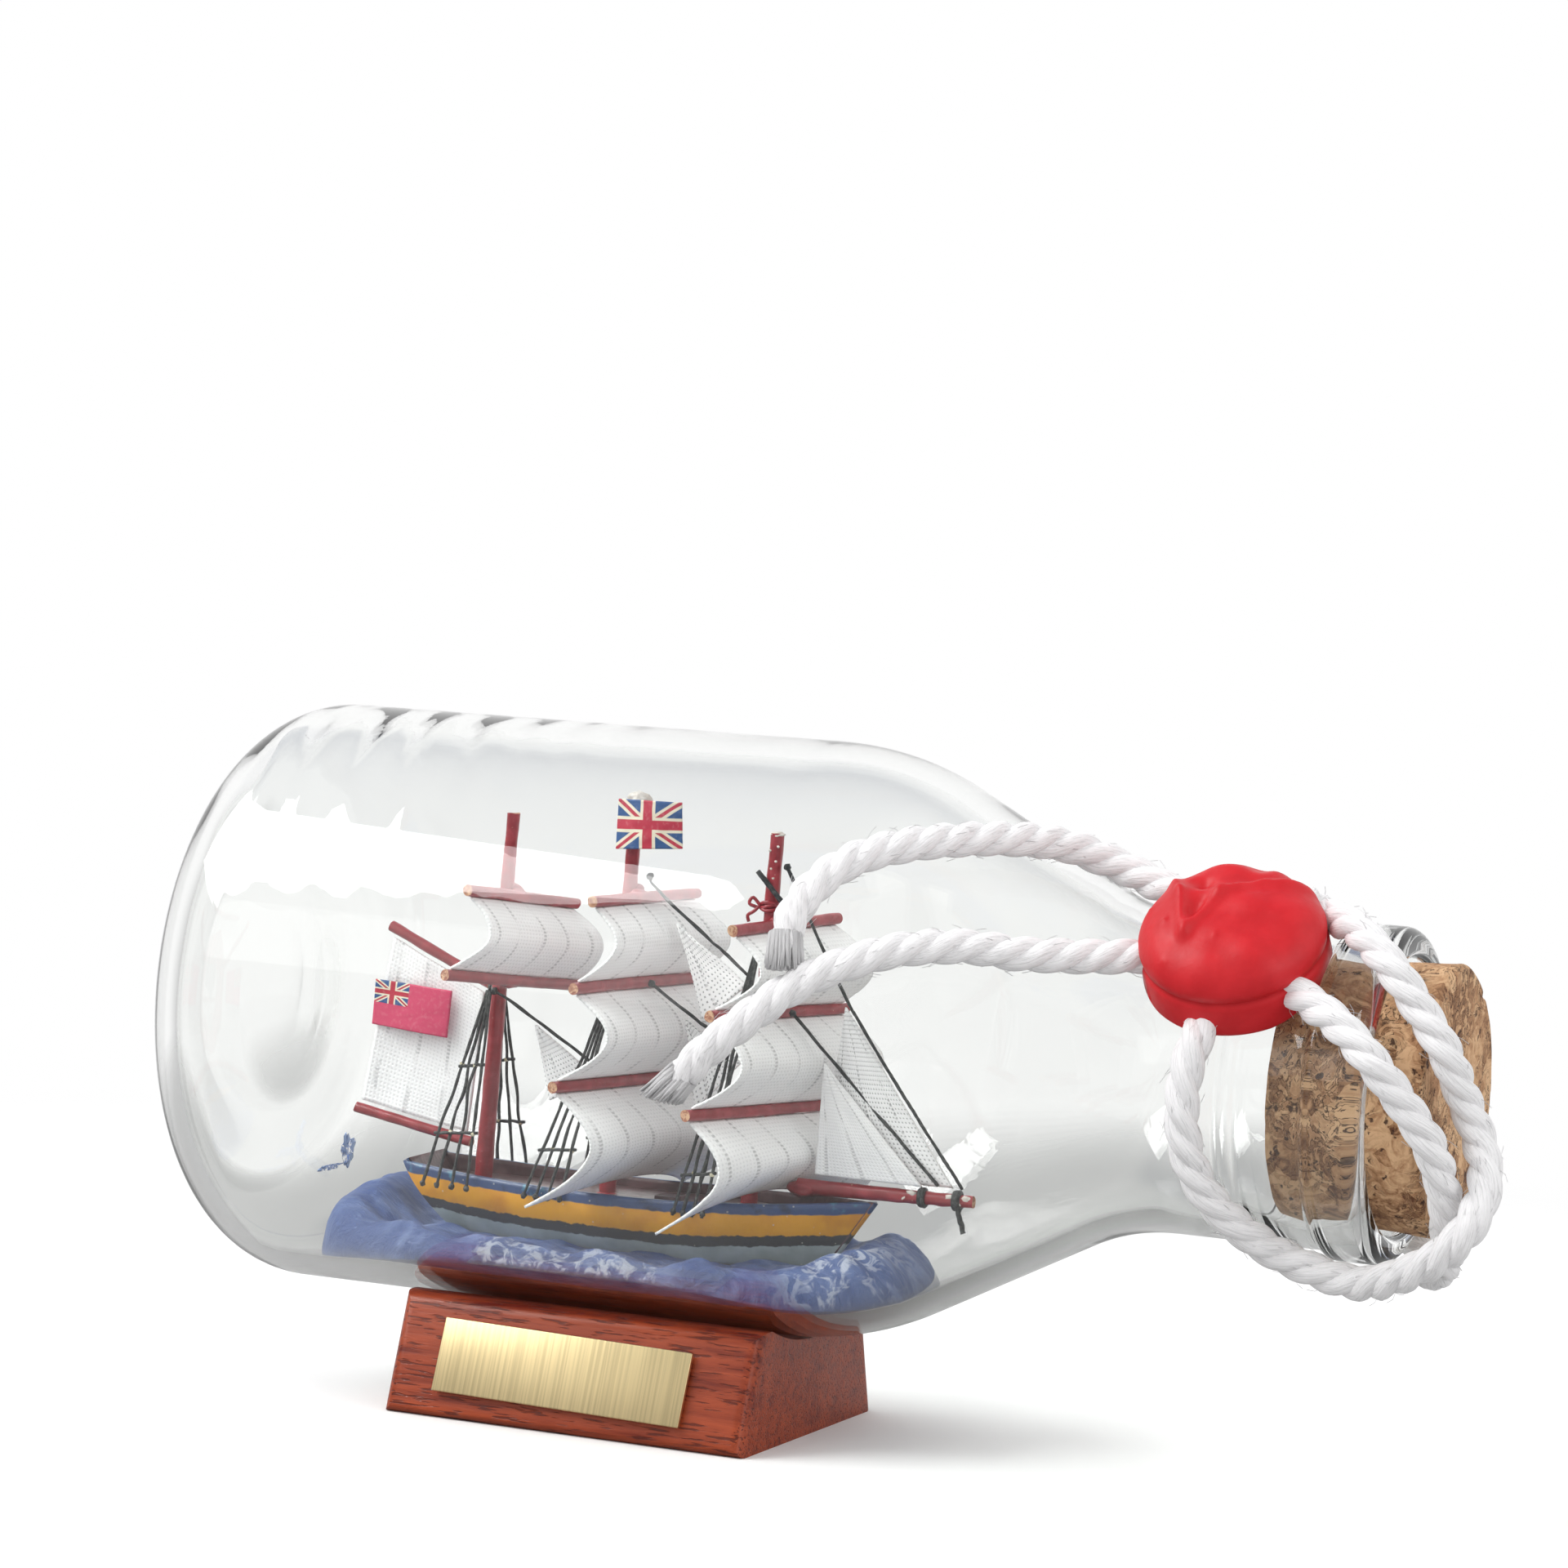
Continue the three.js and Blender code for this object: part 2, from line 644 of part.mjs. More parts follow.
// The point at a distance y across the ship on a yard's centre line.
function yardPoint(yard, y) {
  const ahead = mastRadius + gap + yardRadius + y * Math.tan(radians(yard.brace));
  return byMast(yard.mast, ahead, yard.height - y * Math.tan(radians(yard.cock)), y);
}

function yardBar(yard) {
  const from = yardPoint(yard, -yard.half);
  return bar(from, yardPoint(yard, yard.half), yardRadius, yardRadius, yardFacets);
}

const bowsprit = {
  from: [hullBowX - 8.0, 0, railHeight + 1.9],
  to: [hullBowX + 9.4, 0, railHeight + 2.3],
  radius: 0.75,
  tip: 0.55,
};

// The gaff and boom are glued behind the mizzen mast and reach aft from it.
const mizzenAft = -mastRadius - gap;
const gaff = {
  peak: byMast(masts.mizzen, mizzenAft - 10.97, 23.7),
  throat: byMast(masts.mizzen, mizzenAft + 0.1, 19.1),
};
const boom = {
  tip: byMast(masts.mizzen, mizzenAft - 13.02, 5.9),
  jaw: byMast(masts.mizzen, mizzenAft - 0.34, 3.8),
};

// ---- Sails --------------------------------------------------------------------------------

const hang = yardRadius + gap;

// A square sail from its yard down to the next, or loose at its foot when it has no lower yard.
function squareSail({ upper, lower, belly, footDrop, footAft, footBelly, arch }) {
  const across = 6;
  const down = 6;
  const sheet = (side) => Array.from({ length: down + 1 }, (_, i) => {
    const t = i / down;
    return Array.from({ length: across + 1 }, (__, j) => {
      const s = (2 * j) / across - 1;
      const head = yardPoint(upper, s * (upper.half - 0.6));
      const foot = lower
        ? yardPoint(lower, s * (lower.half - 0.6))
        : yardPoint({ ...upper, cock: 0 }, s * (upper.half + 0.2));
      head[2] -= hang;
      if (lower) {
        foot[2] += hang;
      } else {
        foot[0] += footBelly * (1 - s * s) - footAft;
        foot[2] += arch * (1 - s * s) - footDrop;
      }
      const swell = belly * Math.sin(Math.PI * t) * (1 - 0.12 * (1 - s * s));
      return [
        THREE.MathUtils.lerp(head[0], foot[0], t) + swell + (side * clothThickness) / 2,
        THREE.MathUtils.lerp(head[1], foot[1], t),
        THREE.MathUtils.lerp(head[2], foot[2], t),
      ];
    });
  });
  return betweenSheets(sheet(1), sheet(-1));
}

const squareSails = {
  mizzen_topsail: { upper: yards.mizzen_upper_yard, lower: yards.mizzen_lower_yard, belly: 3.0 },
  main_topgallant: { upper: yards.main_upper_yard, lower: yards.main_middle_yard, belly: 3.0 },
  main_topsail: { upper: yards.main_middle_yard, lower: yards.main_lower_yard, belly: 4.0 },
  main_course: {
    upper: yards.main_lower_yard, belly: 5.0, footDrop: 11.1, footAft: 2.2, footBelly: 3.0, arch: 2.0,
  },
  fore_topgallant: { upper: yards.fore_upper_yard, lower: yards.fore_middle_yard, belly: 3.4 },
  fore_topsail: { upper: yards.fore_middle_yard, lower: yards.fore_lower_yard, belly: 3.8 },
  fore_course: {
    upper: yards.fore_lower_yard, belly: 4.3, footDrop: 10.9, footAft: 2.3, footBelly: 2.6, arch: 3.4,
  },
};

// Fore-and-aft sails by their corners, each beside the ship's centre plane.
const { mizzen, main, fore } = masts;
const jibFoot = bowsprit.from[2] + bowsprit.radius + 2 * gap;
const jibTack = bowsprit.from[0] + 1.8;
const offset = ([x, y, z], ahead, up) => [x + ahead, y, z + up];
const flatSails = {
  spanker: {
    y: 0,
    corners: [
      offset(gaff.peak, 0.4, -1.1), offset(gaff.throat, -0.5, -0.9),
      offset(boom.jaw, -0.5, 0.9), offset(boom.tip, 0.6, 0.8),
    ],
  },
  mizzen_staysail: {
    y: 0,
    corners: [byMast(mizzen, 4.2, 15.6), byMast(main, -1.8, 11.2), byMast(mizzen, 6.3, 8.6)],
  },
  main_upper_staysail: {
    y: 0,
    corners: [byMast(main, 5.1, 26.4), byMast(fore, -1.8, 21.3), byMast(main, 8.3, 17.8)],
  },
  main_lower_staysail: {
    y: 0,
    corners: [byMast(main, 6.6, 17.5), byMast(fore, -1.8, 14.0), byMast(main, 8.3, 9.4)],
  },
  outer_jib: {
    y: 0.5,
    corners: [byMast(fore, 8.0, 20.1), [jibTack, 0, jibFoot], [bowsprit.to[0] - 2.3, 0, jibFoot]],
  },
  inner_jib: {
    y: -0.5,
    corners: [byMast(fore, 6.7, 14.8), [jibTack, 0, jibFoot], [bowsprit.to[0] - 5.0, 0, jibFoot]],
  },
};

const flags = {
  ensign: {
    y: -0.6,
    corners: [
      byMast(mizzen, -12.9, 18.5), byMast(mizzen, -4.5, 18.1),
      byMast(mizzen, -4.7, 13.6), byMast(mizzen, -12.9, 14.2),
    ],
  },
  masthead_flag: {
    y: -mastRadius - 0.5,
    corners: [
      byMast(main, -1.4, 37.6), byMast(main, 5.2, 37.7),
      byMast(main, 5.5, 33.5), byMast(main, -1.2, 33.0),
    ],
  },
};

// ---- Rigging ------------------------------------------------------------------------------

const beside = mastRadius + 0.5;
const stays = {
  mizzen_stay: [
    byMast(mizzen, 0.1, 18.6, -beside), byMast(mizzen, 3.8, 16.7, -1.0), byMast(main, -1.4, 11.9),
  ],
  main_upper_stay: [byMast(main, 2.0, 30.6), byMast(main, 2.8, 29.4), byMast(fore, -1.6, 22.0)],
  main_lower_stay: [byMast(main, 2.9, 20.6), byMast(main, 6.3, 18.5), byMast(fore, -1.4, 14.6)],
  fore_upper_stay: [
    byMast(fore, 1.3, 32.6), byMast(fore, 9.0, 19.7), offset(bowsprit.to, -1.2, 1.0),
  ],
  fore_lower_stay: [
    byMast(fore, 2.9, 19.1), byMast(fore, 7.1, 15.2), offset(bowsprit.to, -3.6, 1.1),
  ],
};

const stayStep = 3.5;
const shroudFoot = railHeight - 1.0;
const shroudReach = hullBeam / 2 + gap + threadRadius;
// Each set's top and feet by their distances ahead of its mast, the top's height above the deck,
// and how far down its two ratlines are.
const shroudSets = {
  mizzen: { top: [-0.4, 18.6], feet: [-3.2, 1.5], ratlines: [0.38, 0.72] },
  main: { top: [-0.5, 19.6], feet: [-5.8, -2.0], ratlines: [0.42, 0.76] },
  fore: { top: [-0.5, 24.6], feet: [-4.5, -1.6], ratlines: [0.3, 0.84] },
};
const shroudThreads = 4;
const shroudSpread = 0.35;
const ratlineEnd = 0.3;          // how far a ratline runs past its last thread, in spacings

// Threads from the mast to the ship's side, tied across by two ratlines.
function shrouds(mast, { top, feet, ratlines }, side) {
  const [headX, , headZ] = byMast(mast, ...top);
  const [deckX] = byMast(mast, 0, 0);
  const onThread = (k, t) => {
    const share = k / (shroudThreads - 1);
    const footX = deckX + THREE.MathUtils.lerp(feet[0], feet[1], share);
    return [
      THREE.MathUtils.lerp(headX + shroudSpread * (share - 0.5), footX, t),
      side * THREE.MathUtils.lerp(mastRadius + 2 * gap, shroudReach, t),
      THREE.MathUtils.lerp(headZ, shroudFoot, t),
    ];
  };
  const thread = (from, to) => bar(from, to, threadRadius, threadRadius, threadFacets);
  const down = Array.from({ length: shroudThreads }, (_, k) => thread(onThread(k, 0), onThread(k, 1)));
  const last = shroudThreads - 1 + ratlineEnd;
  const across = ratlines.map((t) => thread(onThread(-ratlineEnd, t), onThread(last, t)));
  return join(...down, ...across);
}

function mastLashing() {
  const inner = mastRadius + lashingSlack;
  const outer = inner + 2 * threadRadius;
  const ring = [
    [inner, -threadRadius], [outer, -threadRadius], [outer, threadRadius],
    [inner, threadRadius], [inner, -threadRadius],
  ].map(([radius, z]) => new THREE.Vector2(radius, z));
  const band = new THREE.LatheGeometry(ring, mastFacets);
  band.rotateX(Math.PI / 2);
  band.translate(...byMast(fore, 0, lashingHeight));
  return closedBody(band);
}

function deckHatch() {
  const hatch = new THREE.BoxGeometry(hatchLength, hatchWidth, hatchHeight);
  hatch.translate(hullSternX + hatchAt * hullLength, 0, deckHeight + gap + hatchHeight / 2);
  return closedBody(hatch);
}

// ---- The assembly -------------------------------------------------------------------------

add('base_block', finish.wood, baseBlock());
add('nameplate', finish.brass, nameplate());
add('bottle', finish.glass, bottle());
add('cork', finish.cork, cork());
add('wax_seal', finish.wax, waxSeal());
for (const [name, route] of Object.entries(ropeRoutes)) {
  add(name, finish.rope, tube(route, ropeDiameter / 2, ropeFacets, ropeStep));
}
add('sea', finish.sea, sea());
add('hull', finish.hull, hull());
add('deck', finish.deck, deck());
add('deck_hatch', finish.deck, deckHatch());
for (const [name, mast] of Object.entries(masts)) {
  add(`${name}_mast`, finish.spar, mastPole(mast));
}
for (const [name, yard] of Object.entries(yards)) {
  add(name, finish.spar, yardBar(yard));
}
add('bowsprit', finish.spar, bar(bowsprit.from, bowsprit.to, bowsprit.radius, bowsprit.tip, mastFacets));
add('spanker_gaff', finish.spar, bar(gaff.peak, gaff.throat, gaffRadius, gaffRadius, yardFacets));
add('spanker_boom', finish.spar, bar(boom.tip, boom.jaw, gaffRadius, gaffRadius, yardFacets));
for (const [name, sail] of Object.entries(squareSails)) {
  add(name, finish.sail, squareSail(sail));
}
for (const [name, { corners, y }] of Object.entries(flatSails)) {
  add(name, finish.sail, flat(corners, y, clothThickness));
}
for (const [name, set] of Object.entries(shroudSets)) {
  add(`${name}_shrouds_near`, finish.thread, shrouds(masts[name], set, -1));
  add(`${name}_shrouds_far`, finish.thread, shrouds(masts[name], set, 1));
}
for (const [name, route] of Object.entries(stays)) {
  add(name, finish.thread, tube(route, threadRadius, threadFacets, stayStep));
}
add('fore_mast_lashing', finish.spar, mastLashing());
for (const [name, { corners, y }] of Object.entries(flags)) {
  add(name, finish.flag, flat(corners, y, paperThickness));
}

export default part;
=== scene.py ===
"""Finished pieces of a ship in a bottle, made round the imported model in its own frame."""

import json
import math
import random

import bmesh
import bpy
from bpy.props import FloatProperty, FloatVectorProperty, IntProperty, PointerProperty
from mathutils import Matrix, Vector, noise

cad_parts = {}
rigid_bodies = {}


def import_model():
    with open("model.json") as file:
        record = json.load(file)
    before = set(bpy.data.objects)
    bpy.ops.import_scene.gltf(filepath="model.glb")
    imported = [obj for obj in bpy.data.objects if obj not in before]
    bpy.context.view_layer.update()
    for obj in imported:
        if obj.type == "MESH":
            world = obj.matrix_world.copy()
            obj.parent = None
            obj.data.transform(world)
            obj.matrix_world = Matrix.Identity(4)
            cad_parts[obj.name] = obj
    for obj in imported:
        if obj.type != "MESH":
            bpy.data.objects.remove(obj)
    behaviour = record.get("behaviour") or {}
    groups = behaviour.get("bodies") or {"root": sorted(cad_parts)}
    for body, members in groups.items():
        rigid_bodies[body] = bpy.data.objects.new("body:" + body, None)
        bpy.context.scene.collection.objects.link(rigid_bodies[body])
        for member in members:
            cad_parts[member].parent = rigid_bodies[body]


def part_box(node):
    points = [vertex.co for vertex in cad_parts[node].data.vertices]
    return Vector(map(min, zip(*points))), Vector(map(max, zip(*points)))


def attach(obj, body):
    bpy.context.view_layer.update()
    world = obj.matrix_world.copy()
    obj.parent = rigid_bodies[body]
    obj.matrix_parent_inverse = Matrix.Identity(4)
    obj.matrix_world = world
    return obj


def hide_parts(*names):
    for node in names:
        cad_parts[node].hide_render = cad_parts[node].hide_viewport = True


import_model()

bl_info = {
    "name": "Ship in a Bottle",
    "version": (1, 0, 0),
    "blender": (4, 5, 0),
    "location": "View3D > Sidebar > Ship",
    "description": "Makes the finished pieces of a small ship in a bottle, and its stage",
    "category": "Add Mesh",
}

MM = 0.001
TURN = 2 * math.pi
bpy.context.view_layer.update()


# ---- Sizes and colours ---------------------------------------------------------------------


def size(name, description, millimetres):
    return FloatProperty(
        name=name, description=description, default=millimetres * MM,
        min=0.0, precision=5, unit="LENGTH", subtype="DISTANCE",
    )


def angle(name, description, degrees):
    return FloatProperty(
        name=name, description=description, default=math.radians(degrees), subtype="ANGLE",
    )


def colour(name, description, value):
    return FloatVectorProperty(
        name=name, description=description, default=value, size=3, min=0.0, max=1.0,
        subtype="COLOR",
    )


class BottleSizes(bpy.types.PropertyGroup):
    """Glass bottle and its cork"""

    wall: size("Wall", "Thickness of the glass in the body", 2.0)
    heel: size("Heel", "Radius of the rounded edge round the foot", 8.2)
    foot: size("Foot", "Thickness of the glass at the middle of the foot", 3.6)
    punt_depth: size("Punt Depth", "Depth of the hollow in the foot", 1.3)
    punt: size("Punt Radius", "Radius of the hollow in the foot", 17.0)
    body_length: size("Body Length", "From the foot to the start of the shoulder", 58.0)
    shoulder: size("Shoulder", "Radius of the shoulder's curve", 27.8)
    shoulder_slope: angle("Shoulder Slope", "Between the shoulder's cone and the axis", 27.9)
    throat: size("Throat", "Radius of the curve from the shoulder into the neck", 18.1)
    neck: size("Neck Radius", "Outer radius of the neck", 14.2)
    lip: size("Lip Radius", "Outer radius of the lip", 15.0)
    lip_length: size("Lip Length", "Length of the lip along the neck", 5.6)
    ripple: size("Ripple", "Unevenness of the blown inner face", 0.07)
    cork: size("Cork Radius", "Radius of the cork's outer end", 12.2)
    cork_taper: angle("Cork Taper", "Half angle of the cork", 3.9)
    glass_tint: colour("Glass Tint", "Colour of the clear glass", (0.988, 0.995, 0.986))


class RopeSizes(bpy.types.PropertyGroup):
    """Cotton rope and wax seal"""

    diameter: size("Diameter", "Diameter of the three-strand rope", 3.2)
    lay: size("Lay", "Length of one full turn of a strand", 8.7)
    fray: size("Fray", "Length of the loose fibres at a cut end", 3.2)
    fibres: IntProperty(name="Fibres", description="Loose fibres at a cut end", default=230)
    seal: size("Seal Radius", "Radius of the wax seal", 8.3)
    seal_angle: angle("Seal Angle", "Up from the front, round the neck", 53)
    seal_rim: size("Seal Rim", "Height of the seal's side above the neck", 3.5)
    seal_dome: size("Seal Dome", "Rise of the seal's crown above its side", 2.7)
    seal_sink: size("Seal Sink", "How far the rim reaches down round the neck", 2.0)
    cotton: colour("Cotton", "Colour of the rope", (0.95, 0.94, 0.95))
    wax: colour("Wax", "Colour of the seal", (0.56, 0.004, 0.010))


class StandSizes(bpy.types.PropertyGroup):
    """Wooden base and its plate"""

    slant: size("Slant", "How far each long side leans in", 3.6)
    edge: size("Edge", "Radius of the sanded edges", 1.3)
    plate_length: size("Plate Length", "Length of the plate", 25.1)
    plate_width: size("Plate Width", "Width of the plate", 6.9)
    plate_thickness: size("Plate Thickness", "Thickness of the plate", 0.5)
    plate_tilt: angle("Plate Tilt", "How far the plate was glued out of level", 1.0)
    wood_dark: colour("Dark Wood", "Dark streaks of the stained wood", (0.12, 0.010, 0.005))
    wood_light: colour("Light Wood", "Light streaks of the stained wood", (0.43, 0.072, 0.022))
    brass: colour("Brass", "Colour of the plate", (0.86, 0.69, 0.38))


class ShipSizes(bpy.types.PropertyGroup):
    """Hull, spars, sails and sea"""

    rail: size("Rail Height", "Height of the rail amidships", 21.0)
    deck: size("Deck Height", "Height of the deck's top", 19.8)
    bulwark: size("Bulwark", "Thickness of the hull's side", 0.6)
    stern_rake: size("Stern Rake", "How far the keel starts ahead of the rail", 6.0)
    bow_rake: size("Bow Rake", "How far the rail reaches ahead of the keel", 5.2)
    cloth: size("Cloth", "Thickness of the sails", 0.24)
    paper: size("Paper", "Thickness of the flags", 0.2)
    thread: size("Thread Radius", "Radius of the rigging threads", 0.155)
    sea_level: size("Sea Level", "Height of the calm sea", 15.5)
    sea: colour("Sea", "Colour of the moulded sea", (0.055, 0.095, 0.25))
    yellow: colour("Yellow Band", "Broad band of the hull", (0.83, 0.37, 0.006))
    blue: colour("Blue Band", "Band under the rail", (0.035, 0.07, 0.18))
    spar: colour("Spar Red", "Paint of the masts and yards", (0.25, 0.012, 0.018))
    cloth_white: colour("Cloth White", "Colour of the sails", (0.97, 0.97, 0.975))


class ShipInABottle(bpy.types.PropertyGroup):
    """All sizes and colours of the object"""

    bottle: PointerProperty(type=BottleSizes)
    rope: PointerProperty(type=RopeSizes)
    stand: PointerProperty(type=StandSizes)
    ship: PointerProperty(type=ShipSizes)


def settings():
    return bpy.context.scene.ship_in_a_bottle


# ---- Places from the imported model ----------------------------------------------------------


def corners(node):
    low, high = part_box(node)
    return Vector(low), Vector(high)


BOTTLE_LOW, BOTTLE_HIGH = corners("bottle")
AXIS = (BOTTLE_LOW.z + BOTTLE_HIGH.z) / 2
BODY = (BOTTLE_HIGH.z - BOTTLE_LOW.z) / 2
FOOT, MOUTH = BOTTLE_LOW.x, BOTTLE_HIGH.x


def packed_points(node):
    """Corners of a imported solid, each once."""
    mesh = bpy.data.objects[node].data
    return {tuple(round(value, 6) for value in vertex.co) for vertex in mesh.vertices}


def bar_ends(node, axis):
    """Middles of a straight bar's two end faces, from low to high along an axis."""
    points = sorted(packed_points(node), key=lambda point: point[axis])
    half = len(points) // 2
    return [
        sum((Vector(point) for point in group), Vector()) / len(group)
        for group in (points[:half], points[half:])
    ]


def outline(node):
    """Corners of a flat piece in the ship's centre plane, in order round it."""
    low, high = corners(node)
    middle = (low.y + high.y) / 2
    flat = {(x, z) for x, _, z in packed_points(node)}
    centre = Vector((sum(x for x, _ in flat), sum(z for _, z in flat))) / len(flat)
    ordered = sorted(flat, key=lambda p: -math.atan2(p[1] - centre.y, p[0] - centre.x))
    return [Vector((x, middle, z)) for x, z in ordered]


# ---- Shapes --------------------------------------------------------------------------------


def place_points(*points):
    return [Vector(point) * MM for point in points]


def arc(along, radius, reach, start, end, steps=10):
    """Points of an arc in the plane of along and radius, between two angles in degrees."""
    turns = [math.radians(start + (end - start) * i / steps) for i in range(steps + 1)]
    return [(along + reach * math.cos(a), radius + reach * math.sin(a)) for a in turns]


def revolve(bm, profile, height, steps):
    """Spins a profile of (along, radius) points round an axis along X, and gives its points."""
    before = set(bm.verts)
    line = [bm.verts.new((x, 0.0, height + radius)) for x, radius in profile]
    edges = [bm.edges.new(pair) for pair in zip(line, line[1:])]
    bmesh.ops.spin(
        bm, geom=line + edges, cent=(0, 0, height), axis=(1, 0, 0),
        angle=TURN, steps=steps, use_merge=True,
    )
    return [vertex for vertex in bm.verts if vertex not in before]


def close_up(bm):
    """Joins what meets and turns the faces of a closed body outwards."""
    bmesh.ops.remove_doubles(bm, verts=bm.verts, dist=0.002 * MM)
    bmesh.ops.recalc_face_normals(bm, faces=bm.faces)


def smooth_line(points, step):
    """Evenly spaced points on a smooth curve through the given ones."""
    count = len(points)
    ends = [points[0] * 2 - points[1], *points, points[-1] * 2 - points[-2]]
    fine = [points[0]]
    for i in range(count - 1):
        before, start, end, after = ends[i:i + 4]
        parts = 12
        for j in range(1, parts + 1):
            t = j / parts
            fine.append(0.5 * (
                2 * start + (end - before) * t
                + (2 * before - 5 * start + 4 * end - after) * t * t
                + (3 * start - before - 3 * end + after) * t ** 3
            ))
    along = [0.0]
    for a, b in zip(fine, fine[1:]):
        along.append(along[-1] + (b - a).length)
    steps = max(2, round(along[-1] / step))
    even, k = [], 0
    for i in range(steps + 1):
        target = along[-1] * i / steps
        while k < len(along) - 2 and along[k + 1] < target:
            k += 1
        part = (target - along[k]) / max(along[k + 1] - along[k], 1e-12)
        even.append(fine[k].lerp(fine[k + 1], part))
    return even


def side_frames(line):
    """Two directions across a line at each of its points, carried along without twisting."""
    frames = []
    across = Vector((0.31, 0.47, 0.83))
    for i in range(len(line)):
        ahead = (line[min(i + 1, len(line) - 1)] - line[max(i - 1, 0)]).normalized()
        across = (across - ahead * across.dot(ahead)).normalized()
        frames.append((across.copy(), ahead.cross(across)))
    return frames


def tubes(routes, radius, sides=8, closed_ends=True):
    """One mesh of round tubes along routes of points, or of (point, share of radius) pairs."""
    data = bpy.data.curves.new("route", "CURVE")
    data.dimensions = "3D"
    data.bevel_depth = radius
    data.bevel_resolution = max(0, sides // 2 - 2)
    data.use_fill_caps = closed_ends
    for route in routes:
        spline = data.splines.new("POLY")
        spline.points.add(len(route) - 1)
        for spot, item in zip(spline.points, route):
            point, thick = item if isinstance(item, tuple) else (item, 1.0)
            spot.co = (*point, 1.0)
            spot.radius = thick
    carrier = bpy.data.objects.new("route", data)
    mesh = bpy.data.meshes.new_from_object(carrier)
    bpy.data.objects.remove(carrier)
    bpy.data.curves.remove(data)
    bm = bmesh.new()
    bm.from_mesh(mesh)
    bmesh.ops.remove_doubles(bm, verts=bm.verts, dist=0.0005 * MM)
    bmesh.ops.recalc_face_normals(bm, faces=bm.faces)
    bm.to_mesh(mesh)
    bm.free()
    return mesh


def lump(bm, centre, spread, seed, rough=0.25, detail=2):
    """An uneven rounded lump, of glue or of a knot."""
    for vertex in bmesh.ops.create_icosphere(bm, subdivisions=detail, radius=1.0)["verts"]:
        shift = noise.noise(vertex.co * 1.7 + Vector((seed * 3.7, seed, 0)))
        vertex.co *= 1 + rough * shift
        vertex.co = Vector(a * b for a, b in zip(vertex.co, spread))
        vertex.co += centre


def cloth_grid(across, down, place, millimetres):
    """A sheet whose points come from place(s, t), s and t from 0 to 1, with a UV in millimetres."""
    bm = bmesh.new()
    layer = bm.loops.layers.uv.new("cloth")
    bmesh.ops.create_grid(bm, x_segments=across, y_segments=down, size=0.5)
    shares = {vertex: (vertex.co.x + 0.5, 0.5 - vertex.co.y) for vertex in bm.verts}
    for face in bm.faces:
        for loop in face.loops:
            s, t = shares[loop.vert]
            loop[layer].uv = (s * millimetres[0], t * millimetres[1])
    for vertex, (s, t) in shares.items():
        vertex.co = place(s, t)
    return bm


def to_mesh(bm, name):
    mesh = bpy.data.meshes.new(name)
    bm.to_mesh(mesh)
    bm.free()
    return mesh


def make_piece(name, shape, finishes, nodes=(), crease=None):
    """Puts a finished shape in the scene on the object's one body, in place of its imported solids."""
    mesh = to_mesh(shape, name) if isinstance(shape, bmesh.types.BMesh) else shape
    mesh.name = name
    piece = bpy.data.objects.new(name, mesh)
    bpy.context.scene.collection.objects.link(piece)
    for finish in finishes:
        mesh.materials.append(finish)
    mesh.shade_smooth()
    if crease is not None:
        mesh.set_sharp_from_angle(angle=math.radians(crease))
    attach(piece, "root")
    if nodes:
        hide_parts(*nodes)
    return piece


def thicken(piece, thickness, offset=0.0):
    """Gives a one-faced piece its thickness, and returns the modifier that does it."""
    wall = piece.modifiers.new("Thickness", "SOLIDIFY")
    wall.thickness = thickness
    wall.offset = offset
    return wall


# ---- Finishes ------------------------------------------------------------------------------


